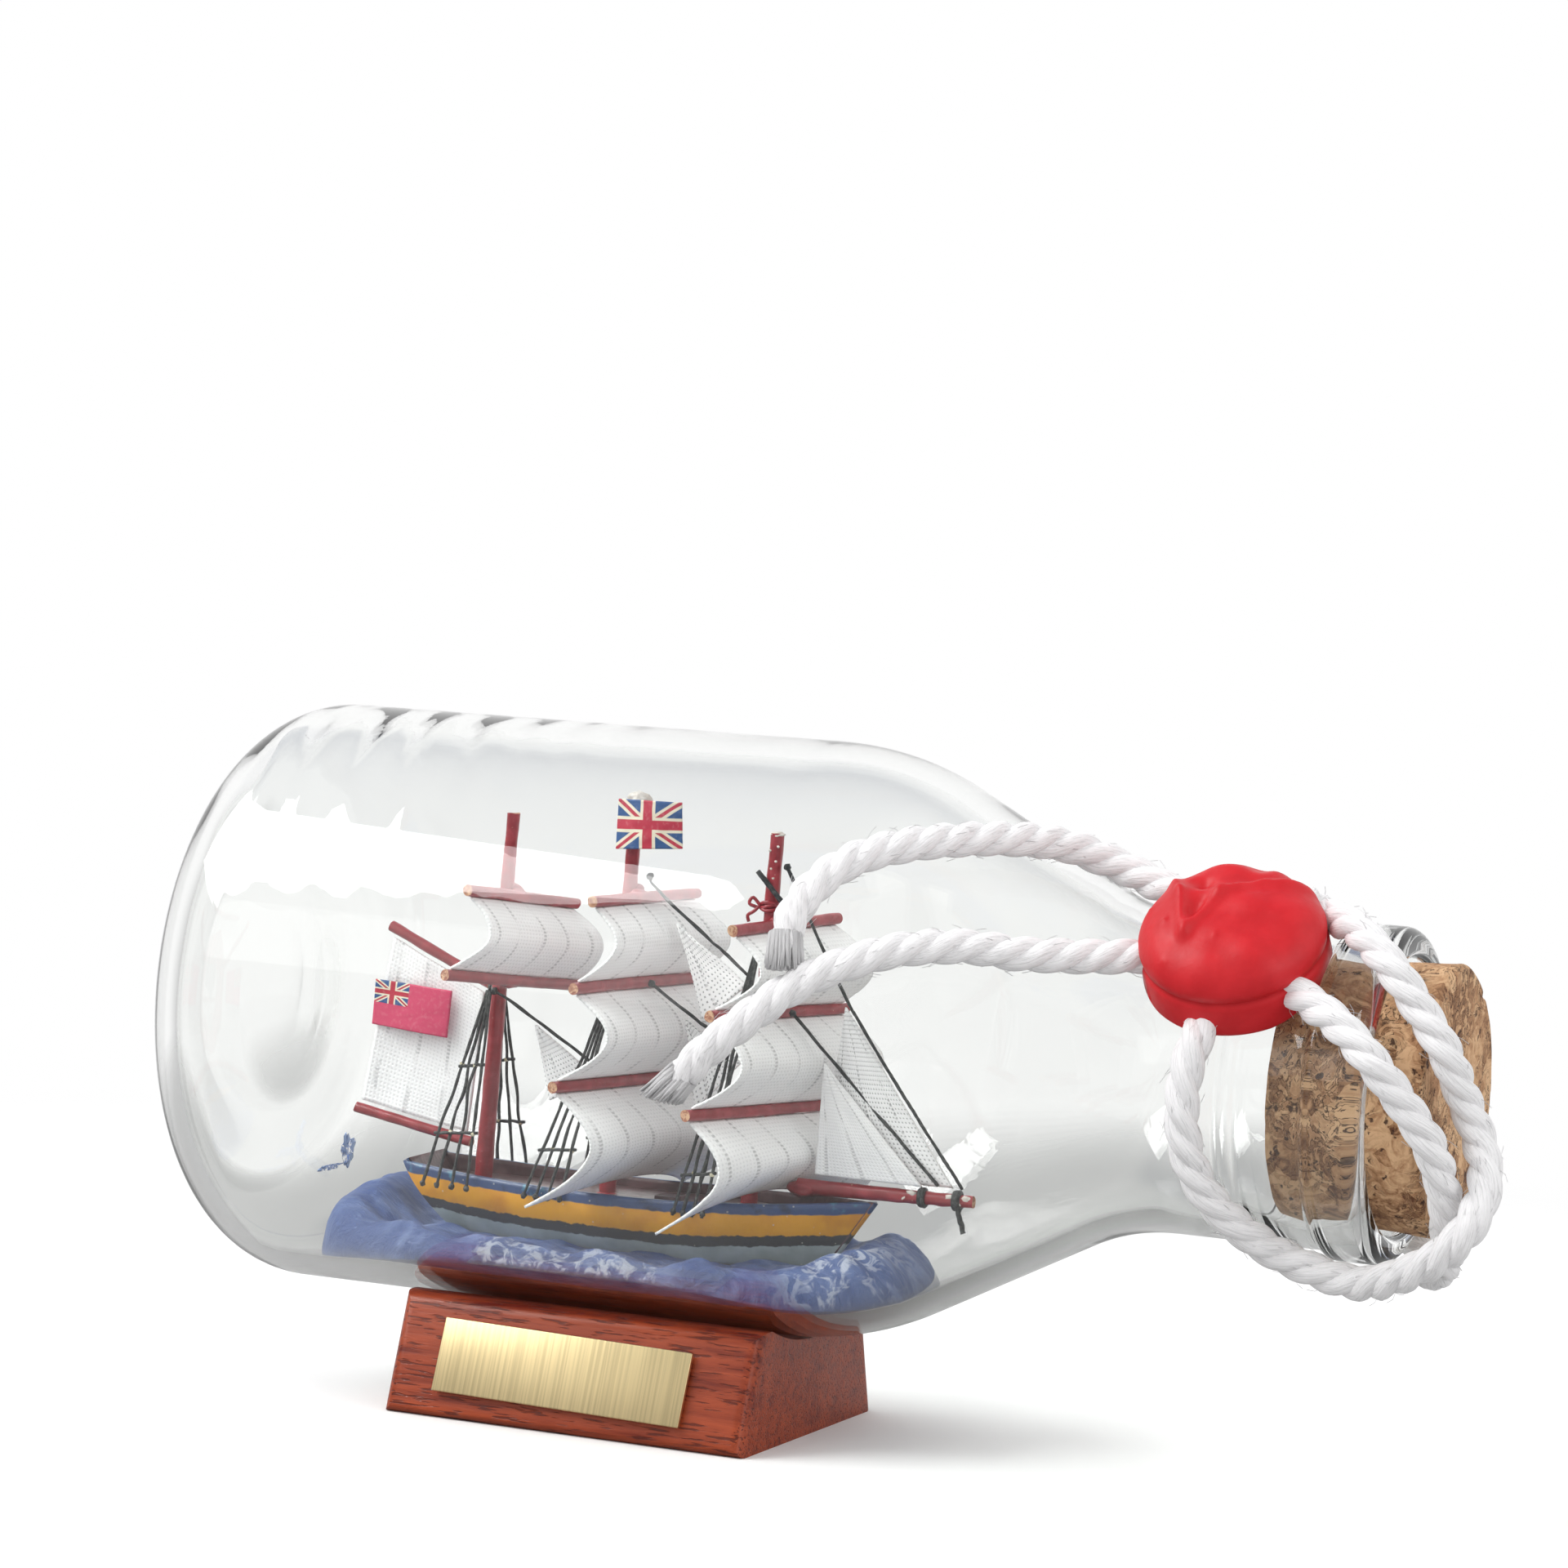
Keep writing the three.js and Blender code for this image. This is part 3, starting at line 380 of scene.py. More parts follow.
class Finish:
    """A material being put together from shader nodes."""

    def __init__(self, name):
        self.material = bpy.data.materials.new(name)
        self.material.use_nodes = True
        self.tree = self.material.node_tree
        self.shader = self.tree.nodes["Principled BSDF"]

    def add(self, kind, inputs=(), **choices):
        node = self.tree.nodes.new(kind)
        for key, value in choices.items():
            setattr(node, key, value)
        for key, value in dict(inputs).items():
            self.join(node.inputs[key], value)
        return node

    def join(self, socket, value):
        """Links a socket to another's output, or gives it a plain number, place or colour."""
        if isinstance(value, bpy.types.NodeSocket):
            self.tree.links.new(value, socket)
        elif socket.type == "RGBA":
            socket.default_value = (*value[:3], 1.0)
        else:
            socket.default_value = value

    def set(self, **values):
        """Sets the shader's sockets, by their names with underscores."""
        for key, value in values.items():
            self.join(self.shader.inputs[key.replace("_", " ")], value)

    def place(self, scale=(1, 1, 1), turn=(0, 0, 0), uv=False):
        """Object coordinates in metres, or the piece's own UV, scaled and turned."""
        source = self.add("ShaderNodeTexCoord").outputs["UV" if uv else "Object"]
        return self.add(
            "ShaderNodeMapping", {"Vector": source, "Scale": scale, "Rotation": turn},
        ).outputs[0]

    def noise(self, place, scale, detail=3.0, rough=0.55, warp=0.0):
        return self.add("ShaderNodeTexNoise", {
            "Vector": place, "Scale": scale, "Detail": detail, "Roughness": rough,
            "Distortion": warp,
        }).outputs["Fac"]

    def cells(self, place, scale, feature="F1", output="Distance"):
        return self.add(
            "ShaderNodeTexVoronoi", {"Vector": place, "Scale": scale}, feature=feature,
        ).outputs[output]

    def maths(self, operation, a, b=0.0, c=0.0):
        node = self.add("ShaderNodeMath", operation=operation)
        for socket, value in zip(node.inputs, (a, b, c)):
            self.join(socket, value)
        return node.outputs[0]

    def parts(self, vector):
        return self.add("ShaderNodeSeparateXYZ", {"Vector": vector}).outputs

    def step(self, value, low, high):
        """0 below low and 1 above high, smoothly in between; falls if low is above high."""
        return self.add("ShaderNodeMapRange", {
            "Value": value, "From Min": low, "From Max": high,
        }, interpolation_type="SMOOTHSTEP").outputs[0]

    def ramp(self, value, *stops):
        node = self.add("ShaderNodeValToRGB", {"Fac": value})
        band = node.color_ramp.elements
        while len(band) < len(stops):
            band.new(0.5)
        for element, (spot, tone) in zip(band, stops):
            element.position = spot
            element.color = (*tone, 1.0)
        return node.outputs[0]

    def blend(self, share, a, b):
        node = self.add("ShaderNodeMix", data_type="RGBA")
        self.join(node.inputs[0], share)
        self.join(node.inputs[6], a)
        self.join(node.inputs[7], b)
        return node.outputs[2]

    def bump(self, height, distance, strength=1.0):
        node = self.add("ShaderNodeBump", {
            "Height": height, "Distance": distance, "Strength": strength,
        })
        self.join(self.shader.inputs["Normal"], node.outputs[0])


def two_tone(f, cloud, low, high, first, second, relief, strength):
    """Two colours mixed by a pattern, which gives the relief too."""
    f.set(Base_Color=f.blend(f.step(cloud, low, high), first, second))
    f.bump(cloud, relief, strength)


def finish_of(maker):
    """The material that a maker function describes, made the first time that it is asked for."""
    def get():
        name = f"{maker.__name__}_finish"
        return bpy.data.materials.get(name) or maker(Finish(name)).material
    return get


@finish_of
def clear_glass(f):
    tint = tuple(settings().bottle.glass_tint)
    f.set(Base_Color=tint, Roughness=0.0, IOR=1.47, Transmission_Weight=1.0)
    let_through = f.add("ShaderNodeBsdfTransparent", {"Color": (0.96, 0.975, 0.965, 1.0)})
    path = f.add("ShaderNodeLightPath")
    mix = f.add("ShaderNodeMixShader")
    f.join(mix.inputs[0], path.outputs["Is Shadow Ray"])
    f.join(mix.inputs[1], f.shader.outputs[0])
    f.join(mix.inputs[2], let_through.outputs[0])
    f.join(f.tree.nodes["Material Output"].inputs["Surface"], mix.outputs[0])
    return f


@finish_of
def chipped_cork(f):
    place = f.place()
    drift = f.add("ShaderNodeTexNoise", {"Vector": place, "Scale": 420.0, "Detail": 3.0})
    shift = f.add(
        "ShaderNodeVectorMath", {0: drift.outputs["Color"], "Scale": 1.6 * MM}, operation="SCALE",
    ).outputs[0]
    warped = f.add("ShaderNodeVectorMath", {0: place, 1: shift}, operation="ADD").outputs[0]
    flakes = f.noise(warped, 430, 4.0, 0.62, 2.6)
    tone = f.parts(f.cells(warped, 480, output="Color"))[0]
    grain = f.noise(f.place((1.0, 0.5, 1.0)), 1900, 4.0, 0.65, 1.0)
    curls = f.step(f.maths("ABSOLUTE", f.maths("SUBTRACT", flakes, 0.5)), 0.02, 0.004)
    patches = f.step(f.noise(place, 210, 2.0), 0.42, 0.56)
    pits = f.step(f.noise(place, 820, 3.0, 0.6), 0.62, 0.68)
    coarse = f.maths("MULTIPLY_ADD", tone, 0.22, f.maths("MULTIPLY", flakes, 0.62))
    value = f.maths("MULTIPLY_ADD", grain, 0.25, coarse)
    base = f.ramp(
        value, (0.36, (0.12, 0.045, 0.018)), (0.50, (0.44, 0.235, 0.115)), (0.66, (0.68, 0.43, 0.24)),
    )
    dark = f.maths("MAXIMUM", f.maths("MULTIPLY", curls, patches), pits)
    f.set(Base_Color=f.blend(f.maths("MULTIPLY", dark, 0.9), base, (0.045, 0.018, 0.01)))
    f.set(Roughness=0.85)
    f.bump(f.maths("SUBTRACT", f.maths("MULTIPLY", value, 0.8), dark), 0.2 * MM, 0.8)
    return f


@finish_of
def pressed_wax(f):
    place = f.place()
    mottle = f.noise(place, 420, 3.0)
    f.set(Base_Color=f.blend(
        f.step(mottle, 0.35, 0.7), tuple(settings().rope.wax), (0.62, 0.008, 0.015),
    ))
    f.set(Roughness=f.maths("MULTIPLY_ADD", f.noise(place, 900, 3.0), 0.25, 0.36))
    f.set(Subsurface_Weight=0.12, Subsurface_Radius=(1.0, 0.12, 0.08), Subsurface_Scale=0.8 * MM)
    f.set(Specular_IOR_Level=0.4)
    f.bump(f.noise(place, 1500, 4.0), 0.06 * MM, 0.5)
    return f


@finish_of
def twisted_cotton(f):
    strand = f.place((42.0, 34.0, 1.0), (0, 0, 0.12), uv=True)
    fibres = f.noise(strand, 1.0, 4.0, 0.65)
    soft = f.noise(f.place(), 420, 3.0)
    white = tuple(settings().rope.cotton)
    shade = tuple(value * 0.80 for value in white)
    f.set(Base_Color=f.blend(f.step(fibres, 0.32, 0.55), shade, white))
    f.set(Roughness=0.95, Sheen_Weight=0.3, Sheen_Roughness=0.5)
    f.bump(f.maths("MULTIPLY_ADD", soft, 0.5, fibres), 0.2 * MM, 0.9)
    return f


@finish_of
def stained_wood(f):
    stand = settings().stand
    dark, light = tuple(stand.wood_dark), tuple(stand.wood_light)
    mid = tuple((a * 0.42 + b * 0.58) for a, b in zip(dark, light))
    place = f.place((70.0, 900.0, 900.0))
    streaks = f.noise(place, 1.0, 5.0, 0.68, 0.4)
    figure = f.noise(f.place((45.0, 220.0, 220.0)), 1.0, 3.0, 0.5, 1.2)
    pores = f.noise(f.place((330.0, 3600.0, 3600.0)), 1.0, 2.0, 0.5)
    value = f.maths("ADD", f.maths("MULTIPLY", streaks, 0.7), f.maths("MULTIPLY", figure, 0.3))
    base = f.ramp(value, (0.32, dark), (0.47, mid), (0.66, light))
    speck = f.step(pores, 0.56, 0.64)
    f.set(Base_Color=f.blend(f.maths("MULTIPLY", speck, 0.7), base, (0.06, 0.008, 0.006)))
    f.set(Roughness=f.maths("MULTIPLY_ADD", streaks, 0.22, 0.25))
    f.set(Coat_Weight=0.08, Coat_Roughness=0.25, Specular_IOR_Level=0.35)
    f.bump(f.maths("SUBTRACT", streaks, f.maths("MULTIPLY", speck, 0.8)), 0.09 * MM, 0.7)
    return f


@finish_of
def brushed_brass(f):
    brass = tuple(settings().stand.brass)
    brush = f.noise(f.place((3200.0, 60.0, 30.0)), 1.0, 3.0, 0.6)
    broad = f.noise(f.place((420.0, 20.0, 8.0)), 1.0, 2.0, 0.5)
    deep = tuple(value * 0.80 for value in brass)
    f.set(Base_Color=f.blend(f.step(brush, 0.35, 0.62), deep, brass))
    f.set(Metallic=1.0)
    f.set(Roughness=f.maths("MULTIPLY_ADD", brush, 0.18, 0.27))
    f.bump(f.maths("MULTIPLY_ADD", broad, 0.3, brush), 0.004 * MM, 0.5)
    return f


@finish_of
def sea_putty(f):
    deep = tuple(settings().ship.sea)
    place = f.place()
    wash = f.noise(f.place((1.0, 1.6, 1.0)), 230, 4.0, 0.6, 0.8)
    brush = f.noise(f.place((1.0, 3.0, 1.0), (0, 0, 0.4)), 520, 4.0, 0.65, 0.6)
    pale = (0.15, 0.21, 0.40)
    water = f.blend(f.step(wash, 0.38, 0.72), deep, pale)
    water = f.blend(f.maths("MULTIPLY", f.step(brush, 0.62, 0.7), 0.45), water, (0.26, 0.32, 0.54))
    foam_attribute = f.add("ShaderNodeAttribute", attribute_name="foam").outputs["Fac"]
    dabs = f.noise(place, 640, 3.0, 0.6, 1.0)
    foam = f.maths("MULTIPLY", foam_attribute, f.step(dabs, 0.47, 0.6))
    f.set(Base_Color=f.blend(foam, water, (0.80, 0.84, 0.90)))
    f.set(Roughness=f.maths("MULTIPLY_ADD", brush, 0.3, 0.35), Specular_IOR_Level=0.25)
    f.bump(f.maths("MULTIPLY_ADD", brush, 0.8, wash), 0.5 * MM, 0.8)
    return f


@finish_of
def hull_bands(f):
    """Bands by their depth below the rail, which the hull's UV holds in millimetres."""
    ship = settings().ship
    depth = f.parts(f.place(uv=True))[1]
    place = f.place()
    wobble = f.maths("MULTIPLY_ADD", f.noise(place, 520, 3.0), 0.5, depth)
    rough_edge = f.maths("MULTIPLY_ADD", f.noise(place, 1500, 3.0), 0.5, wobble)
    patches = f.noise(place, 380, 3.0, 0.6)
    blue = f.blend(f.step(patches, 0.56, 0.68), tuple(ship.blue), (0.07, 0.24, 0.36))
    blue = f.blend(f.step(patches, 0.45, 0.3), blue, (0.02, 0.03, 0.07))
    gold = tuple(ship.yellow)
    worn = f.noise(place, 240, 4.0)
    yellow = f.blend(f.step(worn, 0.4, 0.7), gold, (0.66, 0.26, 0.006))
    grey = f.blend(f.step(worn, 0.35, 0.65), (0.50, 0.56, 0.53), (0.36, 0.41, 0.38))
    paint = f.blend(f.step(wobble, 1.15, 1.3), blue, yellow)
    paint = f.blend(f.step(rough_edge, 3.5, 3.65), paint, (0.045, 0.042, 0.038))
    paint = f.blend(f.step(rough_edge, 4.55, 4.7), paint, grey)
    specks = f.step(f.cells(place, 900), 0.1, 0.06)
    f.set(Base_Color=f.blend(f.maths("MULTIPLY", specks, 0.5), paint, (0.75, 0.72, 0.6)))
    f.set(Roughness=0.38, Coat_Weight=0.35, Coat_Roughness=0.15)
    f.bump(f.noise(place, 700, 4.0), 0.12 * MM, 0.6)
    return f


@finish_of
def deck_paint(f):
    place = f.place((1.0, 4.0, 1.0))
    strokes = f.noise(place, 420, 4.0, 0.6)
    two_tone(f, strokes, 0.35, 0.7, (0.075, 0.030, 0.032), (0.15, 0.075, 0.08), 0.1 * MM, 0.6)
    f.set(Roughness=0.35, Coat_Weight=0.3, Coat_Roughness=0.2)
    return f


@finish_of
def red_paint(f):
    place = f.place()
    uneven = f.noise(place, 700, 4.0)
    red = tuple(settings().ship.spar)
    tone = f.blend(f.step(uneven, 0.4, 0.7), red, (0.36, 0.035, 0.045))
    chips = f.step(f.noise(place, 2100, 2.0), 0.72, 0.78)
    f.set(Base_Color=f.blend(f.maths("MULTIPLY", chips, 0.7), tone, (0.62, 0.42, 0.3)))
    f.set(Roughness=0.35, Coat_Weight=0.4, Coat_Roughness=0.12)
    f.bump(uneven, 0.12 * MM, 0.7)
    return f


@finish_of
def cut_wood(f):
    rings = f.noise(f.place(), 2400, 4.0, 0.6, 1.0)
    two_tone(f, rings, 0.35, 0.65, (0.30, 0.09, 0.05), (0.66, 0.42, 0.26), 0.1 * MM, 0.7)
    f.set(Roughness=0.75)
    return f


def woven(f, thread, seam_gap, seam_dark, hole):
    """Plain weave, with drawn threads across it and fine holes, on a UV in millimetres."""
    across, down, _ = f.parts(f.place(uv=True))
    rate = math.pi / thread
    warp = f.maths("ABSOLUTE", f.maths("SINE", f.maths("MULTIPLY", across, rate)))
    weft = f.maths("ABSOLUTE", f.maths("SINE", f.maths("MULTIPLY", down, rate)))
    weave = f.maths("MAXIMUM", warp, weft)
    drift = f.noise(f.place(), 160, 2.0)
    shifted = f.maths("MULTIPLY_ADD", drift, 1.2, across)
    cycle = f.maths("ABSOLUTE", f.maths("SUBTRACT", f.maths("FRACT", f.maths(
        "DIVIDE", shifted, seam_gap)), 0.5))
    seam = f.step(cycle, 0.26 / seam_gap, 0.12 / seam_gap)
    dots = f.step(f.maths("SINE", f.maths("MULTIPLY", down, TURN / thread)), -0.3, 0.3)
    patchy = f.step(f.noise(f.place(), 330, 2.0), 0.36, 0.56)
    drawn = f.maths("MULTIPLY", f.maths("MULTIPLY", seam, dots), patchy)
    white = tuple(settings().ship.cloth_white)
    shade = tuple(value * 0.88 for value in white)
    cloth = f.blend(f.step(weave, 0.35, 0.85), shade, white)
    faint = f.maths("MULTIPLY", f.maths("MULTIPLY", seam, patchy), 0.12)
    cloth = f.blend(faint, cloth, (0.45, 0.43, 0.45))
    f.set(Base_Color=f.blend(f.maths("MULTIPLY", drawn, seam_dark), cloth, (0.10, 0.10, 0.11)))
    f.set(Roughness=0.95, Sheen_Weight=0.2)
    if hole:
        open_weave = f.maths("MULTIPLY", f.step(weave, 0.62, 0.30), hole)
        f.set(Alpha=f.maths("SUBTRACT", 1.0, open_weave))
    f.bump(weave, 0.05 * MM, 0.8)
    return f


@finish_of
def sailcloth(f):
    return woven(f, 0.42, 3.6, 0.36, 0.0)


@finish_of
def gauze(f):
    return woven(f, 0.5, 4.6, 0.55, 0.6)


@finish_of
def black_thread(f):
    fluff = f.noise(f.place(), 2600, 3.0)
    two_tone(f, fluff, 0.4, 0.75, (0.012, 0.014, 0.014), (0.07, 0.075, 0.07), 0.08 * MM, 0.8)
    f.set(Roughness=0.6, Coat_Weight=0.2, Coat_Roughness=0.3)
    return f


@finish_of
def dried_glue(f):
    cloud = f.noise(f.place(), 1300, 3.0)
    two_tone(f, cloud, 0.4, 0.7, (0.50, 0.44, 0.26), (0.74, 0.70, 0.55), 0.06 * MM, 0.5)
    f.set(Roughness=0.18, Coat_Weight=0.6, Coat_Roughness=0.05)
    return f


@finish_of
def white_glue(f):
    cloud = f.noise(f.place(), 1500, 3.0)
    two_tone(f, cloud, 0.35, 0.7, (0.62, 0.56, 0.50), (0.84, 0.82, 0.78), 0.08 * MM, 0.6)
    f.set(Roughness=0.4)
    return f


@finish_of
def blue_smear(f):
    cloud = f.noise(f.place(), 700, 3.0, 0.6, 1.0)
    f.set(Base_Color=f.blend(f.step(cloud, 0.4, 0.6), (0.06, 0.16, 0.50), (0.35, 0.48, 0.75)))
    f.set(Roughness=0.4)
    f.set(Alpha=f.step(cloud, 0.40, 0.56))
    return f


def crossed_flag(f, u, v, field):
    """White-edged red crosses, upright and diagonal, on a UV from 0 to 1."""
    x = f.maths("ABSOLUTE", f.maths("SUBTRACT", u, 0.5))
    y = f.maths("ABSOLUTE", f.maths("SUBTRACT", v, 0.5))
    rise = f.maths("SUBTRACT", v, 0.5)
    run = f.maths("SUBTRACT", u, 0.5)
    falling = f.maths("ABSOLUTE", f.maths("ADD", rise, run))
    rising = f.maths("ABSOLUTE", f.maths("SUBTRACT", rise, run))
    diagonal = f.maths("MINIMUM", falling, rising)
    upright = f.maths("MINIMUM", f.maths("MULTIPLY", x, 1.35), y)
    cream, red = (0.80, 0.74, 0.58), (0.50, 0.02, 0.05)
    tone = f.blend(f.step(diagonal, 0.125, 0.105), field, cream)
    tone = f.blend(f.step(diagonal, 0.052, 0.036), tone, red)
    tone = f.blend(f.step(upright, 0.168, 0.152), tone, cream)
    return f.blend(f.step(upright, 0.105, 0.09), tone, red)


def printed(f, tone):
    dots = f.noise(f.place(), 2600, 2.0)
    bare = f.maths("MULTIPLY", f.step(dots, 0.5, 0.75), 0.09)
    f.set(Base_Color=f.blend(bare, tone, (0.8, 0.76, 0.7)))
    f.set(Roughness=0.55)
    f.bump(dots, 0.03 * MM, 0.5)
    return f


BLUE_INK = (0.025, 0.09, 0.26)


@finish_of
def crossed_paper(f):
    u, v, _ = f.parts(f.place(uv=True))
    return printed(f, crossed_flag(f, u, v, BLUE_INK))


@finish_of
def ensign_paper(f):
    """Red paper, with the crosses in the upper corner by the staff."""
    u, v, _ = f.parts(f.place(uv=True))
    corner_u = f.maths("DIVIDE", u, 0.45)
    corner_v = f.maths("DIVIDE", f.maths("SUBTRACT", v, 0.5), 0.5)
    cross = crossed_flag(f, corner_u, corner_v, BLUE_INK)
    inside = f.maths("MULTIPLY", f.step(u, 0.455, 0.445), f.step(v, 0.495, 0.505))
    return printed(f, f.blend(inside, (0.64, 0.055, 0.14), cross))


@finish_of
def pale_floor(f):
    """Matt white that fades away round the object, and throws little light back at it."""
    seen = f.add("ShaderNodeLightPath").outputs["Is Camera Ray"]
    f.set(Base_Color=f.blend(seen, (0.40, 0.40, 0.40), (0.95, 0.95, 0.95)))
    f.set(Roughness=0.9, Specular_IOR_Level=0.1)
    reach = f.add("ShaderNodeVectorMath", {"Vector": f.place()}, operation="LENGTH").outputs["Value"]
    f.set(Alpha=f.step(reach, 0.24, 0.10))
    return f


# ---- Stage ---------------------------------------------------------------------------------

VIEW_AZIMUTH = math.radians(22.92)
VIEW_DROP = math.radians(3.19)
VIEW_ROLL = math.radians(3.22)
VIEW_DISTANCE = 0.4635
VIEW_TARGET = Vector((12.07, 0.0, 60.06)) * MM
VIEW_LENS = 114.97


def make_camera():
    data = bpy.data.cameras.new("camera")
    data.lens = VIEW_LENS
    data.sensor_width = 36.0
    data.clip_start = 0.01
    back = Vector((
        math.sin(VIEW_AZIMUTH) * math.cos(VIEW_DROP),
        -math.cos(VIEW_AZIMUTH) * math.cos(VIEW_DROP),
        math.sin(VIEW_DROP),
    ))
    level = Vector((math.cos(VIEW_AZIMUTH), math.sin(VIEW_AZIMUTH), 0.0))
    upright = back.cross(level)
    right = level * math.cos(VIEW_ROLL) + upright * math.sin(VIEW_ROLL)
    up = upright * math.cos(VIEW_ROLL) - level * math.sin(VIEW_ROLL)
    camera = bpy.data.objects.new("camera", data)
    turn = Matrix((right, up, back)).transposed().to_4x4()
    camera.matrix_world = Matrix.Translation(VIEW_TARGET + back * VIEW_DISTANCE) @ turn
    bpy.context.scene.collection.objects.link(camera)
    bpy.context.scene.camera = camera


def make_softbox(name, middle, aim, across, tall, watts):
    data = bpy.data.lights.new(name, "AREA")
    data.shape = "RECTANGLE"
    data.size = across
    data.size_y = tall
    data.energy = watts
    lamp = bpy.data.objects.new(name, data)
    lamp.matrix_world = Matrix.Translation(middle) @ (
        Vector(middle) - Vector(aim)).to_track_quat("Z", "Y").to_matrix().to_4x4()
    lamp.visible_camera = False
    bpy.context.scene.collection.objects.link(lamp)


def make_surroundings():
    """White all round, dimmer towards the front for what the glass bends and mirrors."""
    world = bpy.data.worlds.new("studio")
    world.use_nodes = True
    bpy.context.scene.world = world
    tree = world.node_tree
    tree.nodes.clear()

    def add(kind, **choices):
        node = tree.nodes.new(kind)
        for key, value in choices.items():
            setattr(node, key, value)
        return node

    def background(strength, tone=None):
        node = add("ShaderNodeBackground")
        node.inputs["Color"].default_value = (1.0, 1.0, 1.0, 1.0)
        if tone is not None:
            tree.links.new(tone, node.inputs["Color"])
        if isinstance(strength, float):
            node.inputs["Strength"].default_value = strength
        else:
            tree.links.new(strength, node.inputs["Strength"])
        return node.outputs[0]

    split = add("ShaderNodeSeparateXYZ")
    tree.links.new(add("ShaderNodeTexCoord").outputs["Generated"], split.inputs[0])

    def span(source, low, high, start, end):
        node = add("ShaderNodeMapRange", interpolation_type="SMOOTHSTEP")
        tree.links.new(source, node.inputs["Value"])
        for key, value in zip(("From Min", "From Max", "To Min", "To Max"), (low, high, start, end)):
            node.inputs[key].default_value = value
        return node.outputs[0]

    behind = span(split.outputs["Y"], -0.3, 0.5, 0.4, 1.0)
    below = span(split.outputs["Z"], -0.75, -0.2, 0.65, 1.0)
    both = add("ShaderNodeMath", operation="MULTIPLY")
    tree.links.new(behind, both.inputs[0])
    tree.links.new(below, both.inputs[1])
    overhead = add("ShaderNodeMix", data_type="RGBA")
    left_top = add("ShaderNodeMath", operation="MULTIPLY")
    tree.links.new(span(split.outputs["Z"], 0.58, 0.72, 0.0, 1.0), left_top.inputs[0])
    tree.links.new(span(split.outputs["X"], 0.35, 0.0, 0.0, 1.0), left_top.inputs[1])
    tree.links.new(left_top.outputs[0], overhead.inputs[0])
    overhead.inputs[6].default_value = (1.0, 1.0, 1.0, 1.0)
    overhead.inputs[7].default_value = (0.26, 0.29, 0.38, 1.0)
    path = add("ShaderNodeLightPath")
    soft = add("ShaderNodeMixShader")
    tree.links.new(path.outputs["Diffuse Depth"], soft.inputs[0])
    tree.links.new(background(both.outputs[0], overhead.outputs[2]), soft.inputs[1])
    tree.links.new(background(0.86), soft.inputs[2])
    seen = add("ShaderNodeMixShader")
    tree.links.new(path.outputs["Is Camera Ray"], seen.inputs[0])
    tree.links.new(soft.outputs[0], seen.inputs[1])
    tree.links.new(background(1.0), seen.inputs[2])
    tree.links.new(seen.outputs[0], add("ShaderNodeOutputWorld").inputs["Surface"])


# Each softbox: its middle, its width and height, all in metres, and its power in watts.
SOFTBOXES = {
    "key": ((-0.62, -0.34, 0.72), 0.62, 0.50, 6.2),
    "front": ((-0.42, -0.85, 0.42), 0.5, 0.36, 0.4),
    "side": ((0.75, -0.25, 0.38), 0.4, 0.5, 1.2),
}
LIT_SPOT = (0.01, 0.0, 0.035)
FLOOR_RADIUS = 6.0


class SHIP_OT_stage(bpy.types.Operator):
    """Make the floor, lights, surroundings and camera"""

    bl_idname = "ship.stage"
    bl_label = "Stage"

    def execute(self, context):
        make_camera()
        make_surroundings()
        bm = bmesh.new()
        bmesh.ops.create_circle(bm, cap_ends=True, segments=96, radius=FLOOR_RADIUS)
        floor = bpy.data.objects.new("floor", to_mesh(bm, "floor"))
        floor.data.materials.append(pale_floor())
        context.scene.collection.objects.link(floor)
        for name, (middle, across, tall, watts) in SOFTBOXES.items():
            make_softbox(name, middle, LIT_SPOT, across, tall, watts)
        context.scene.view_settings.view_transform = "Standard"
        return {"FINISHED"}


# ---- Rope ----------------------------------------------------------------------------------

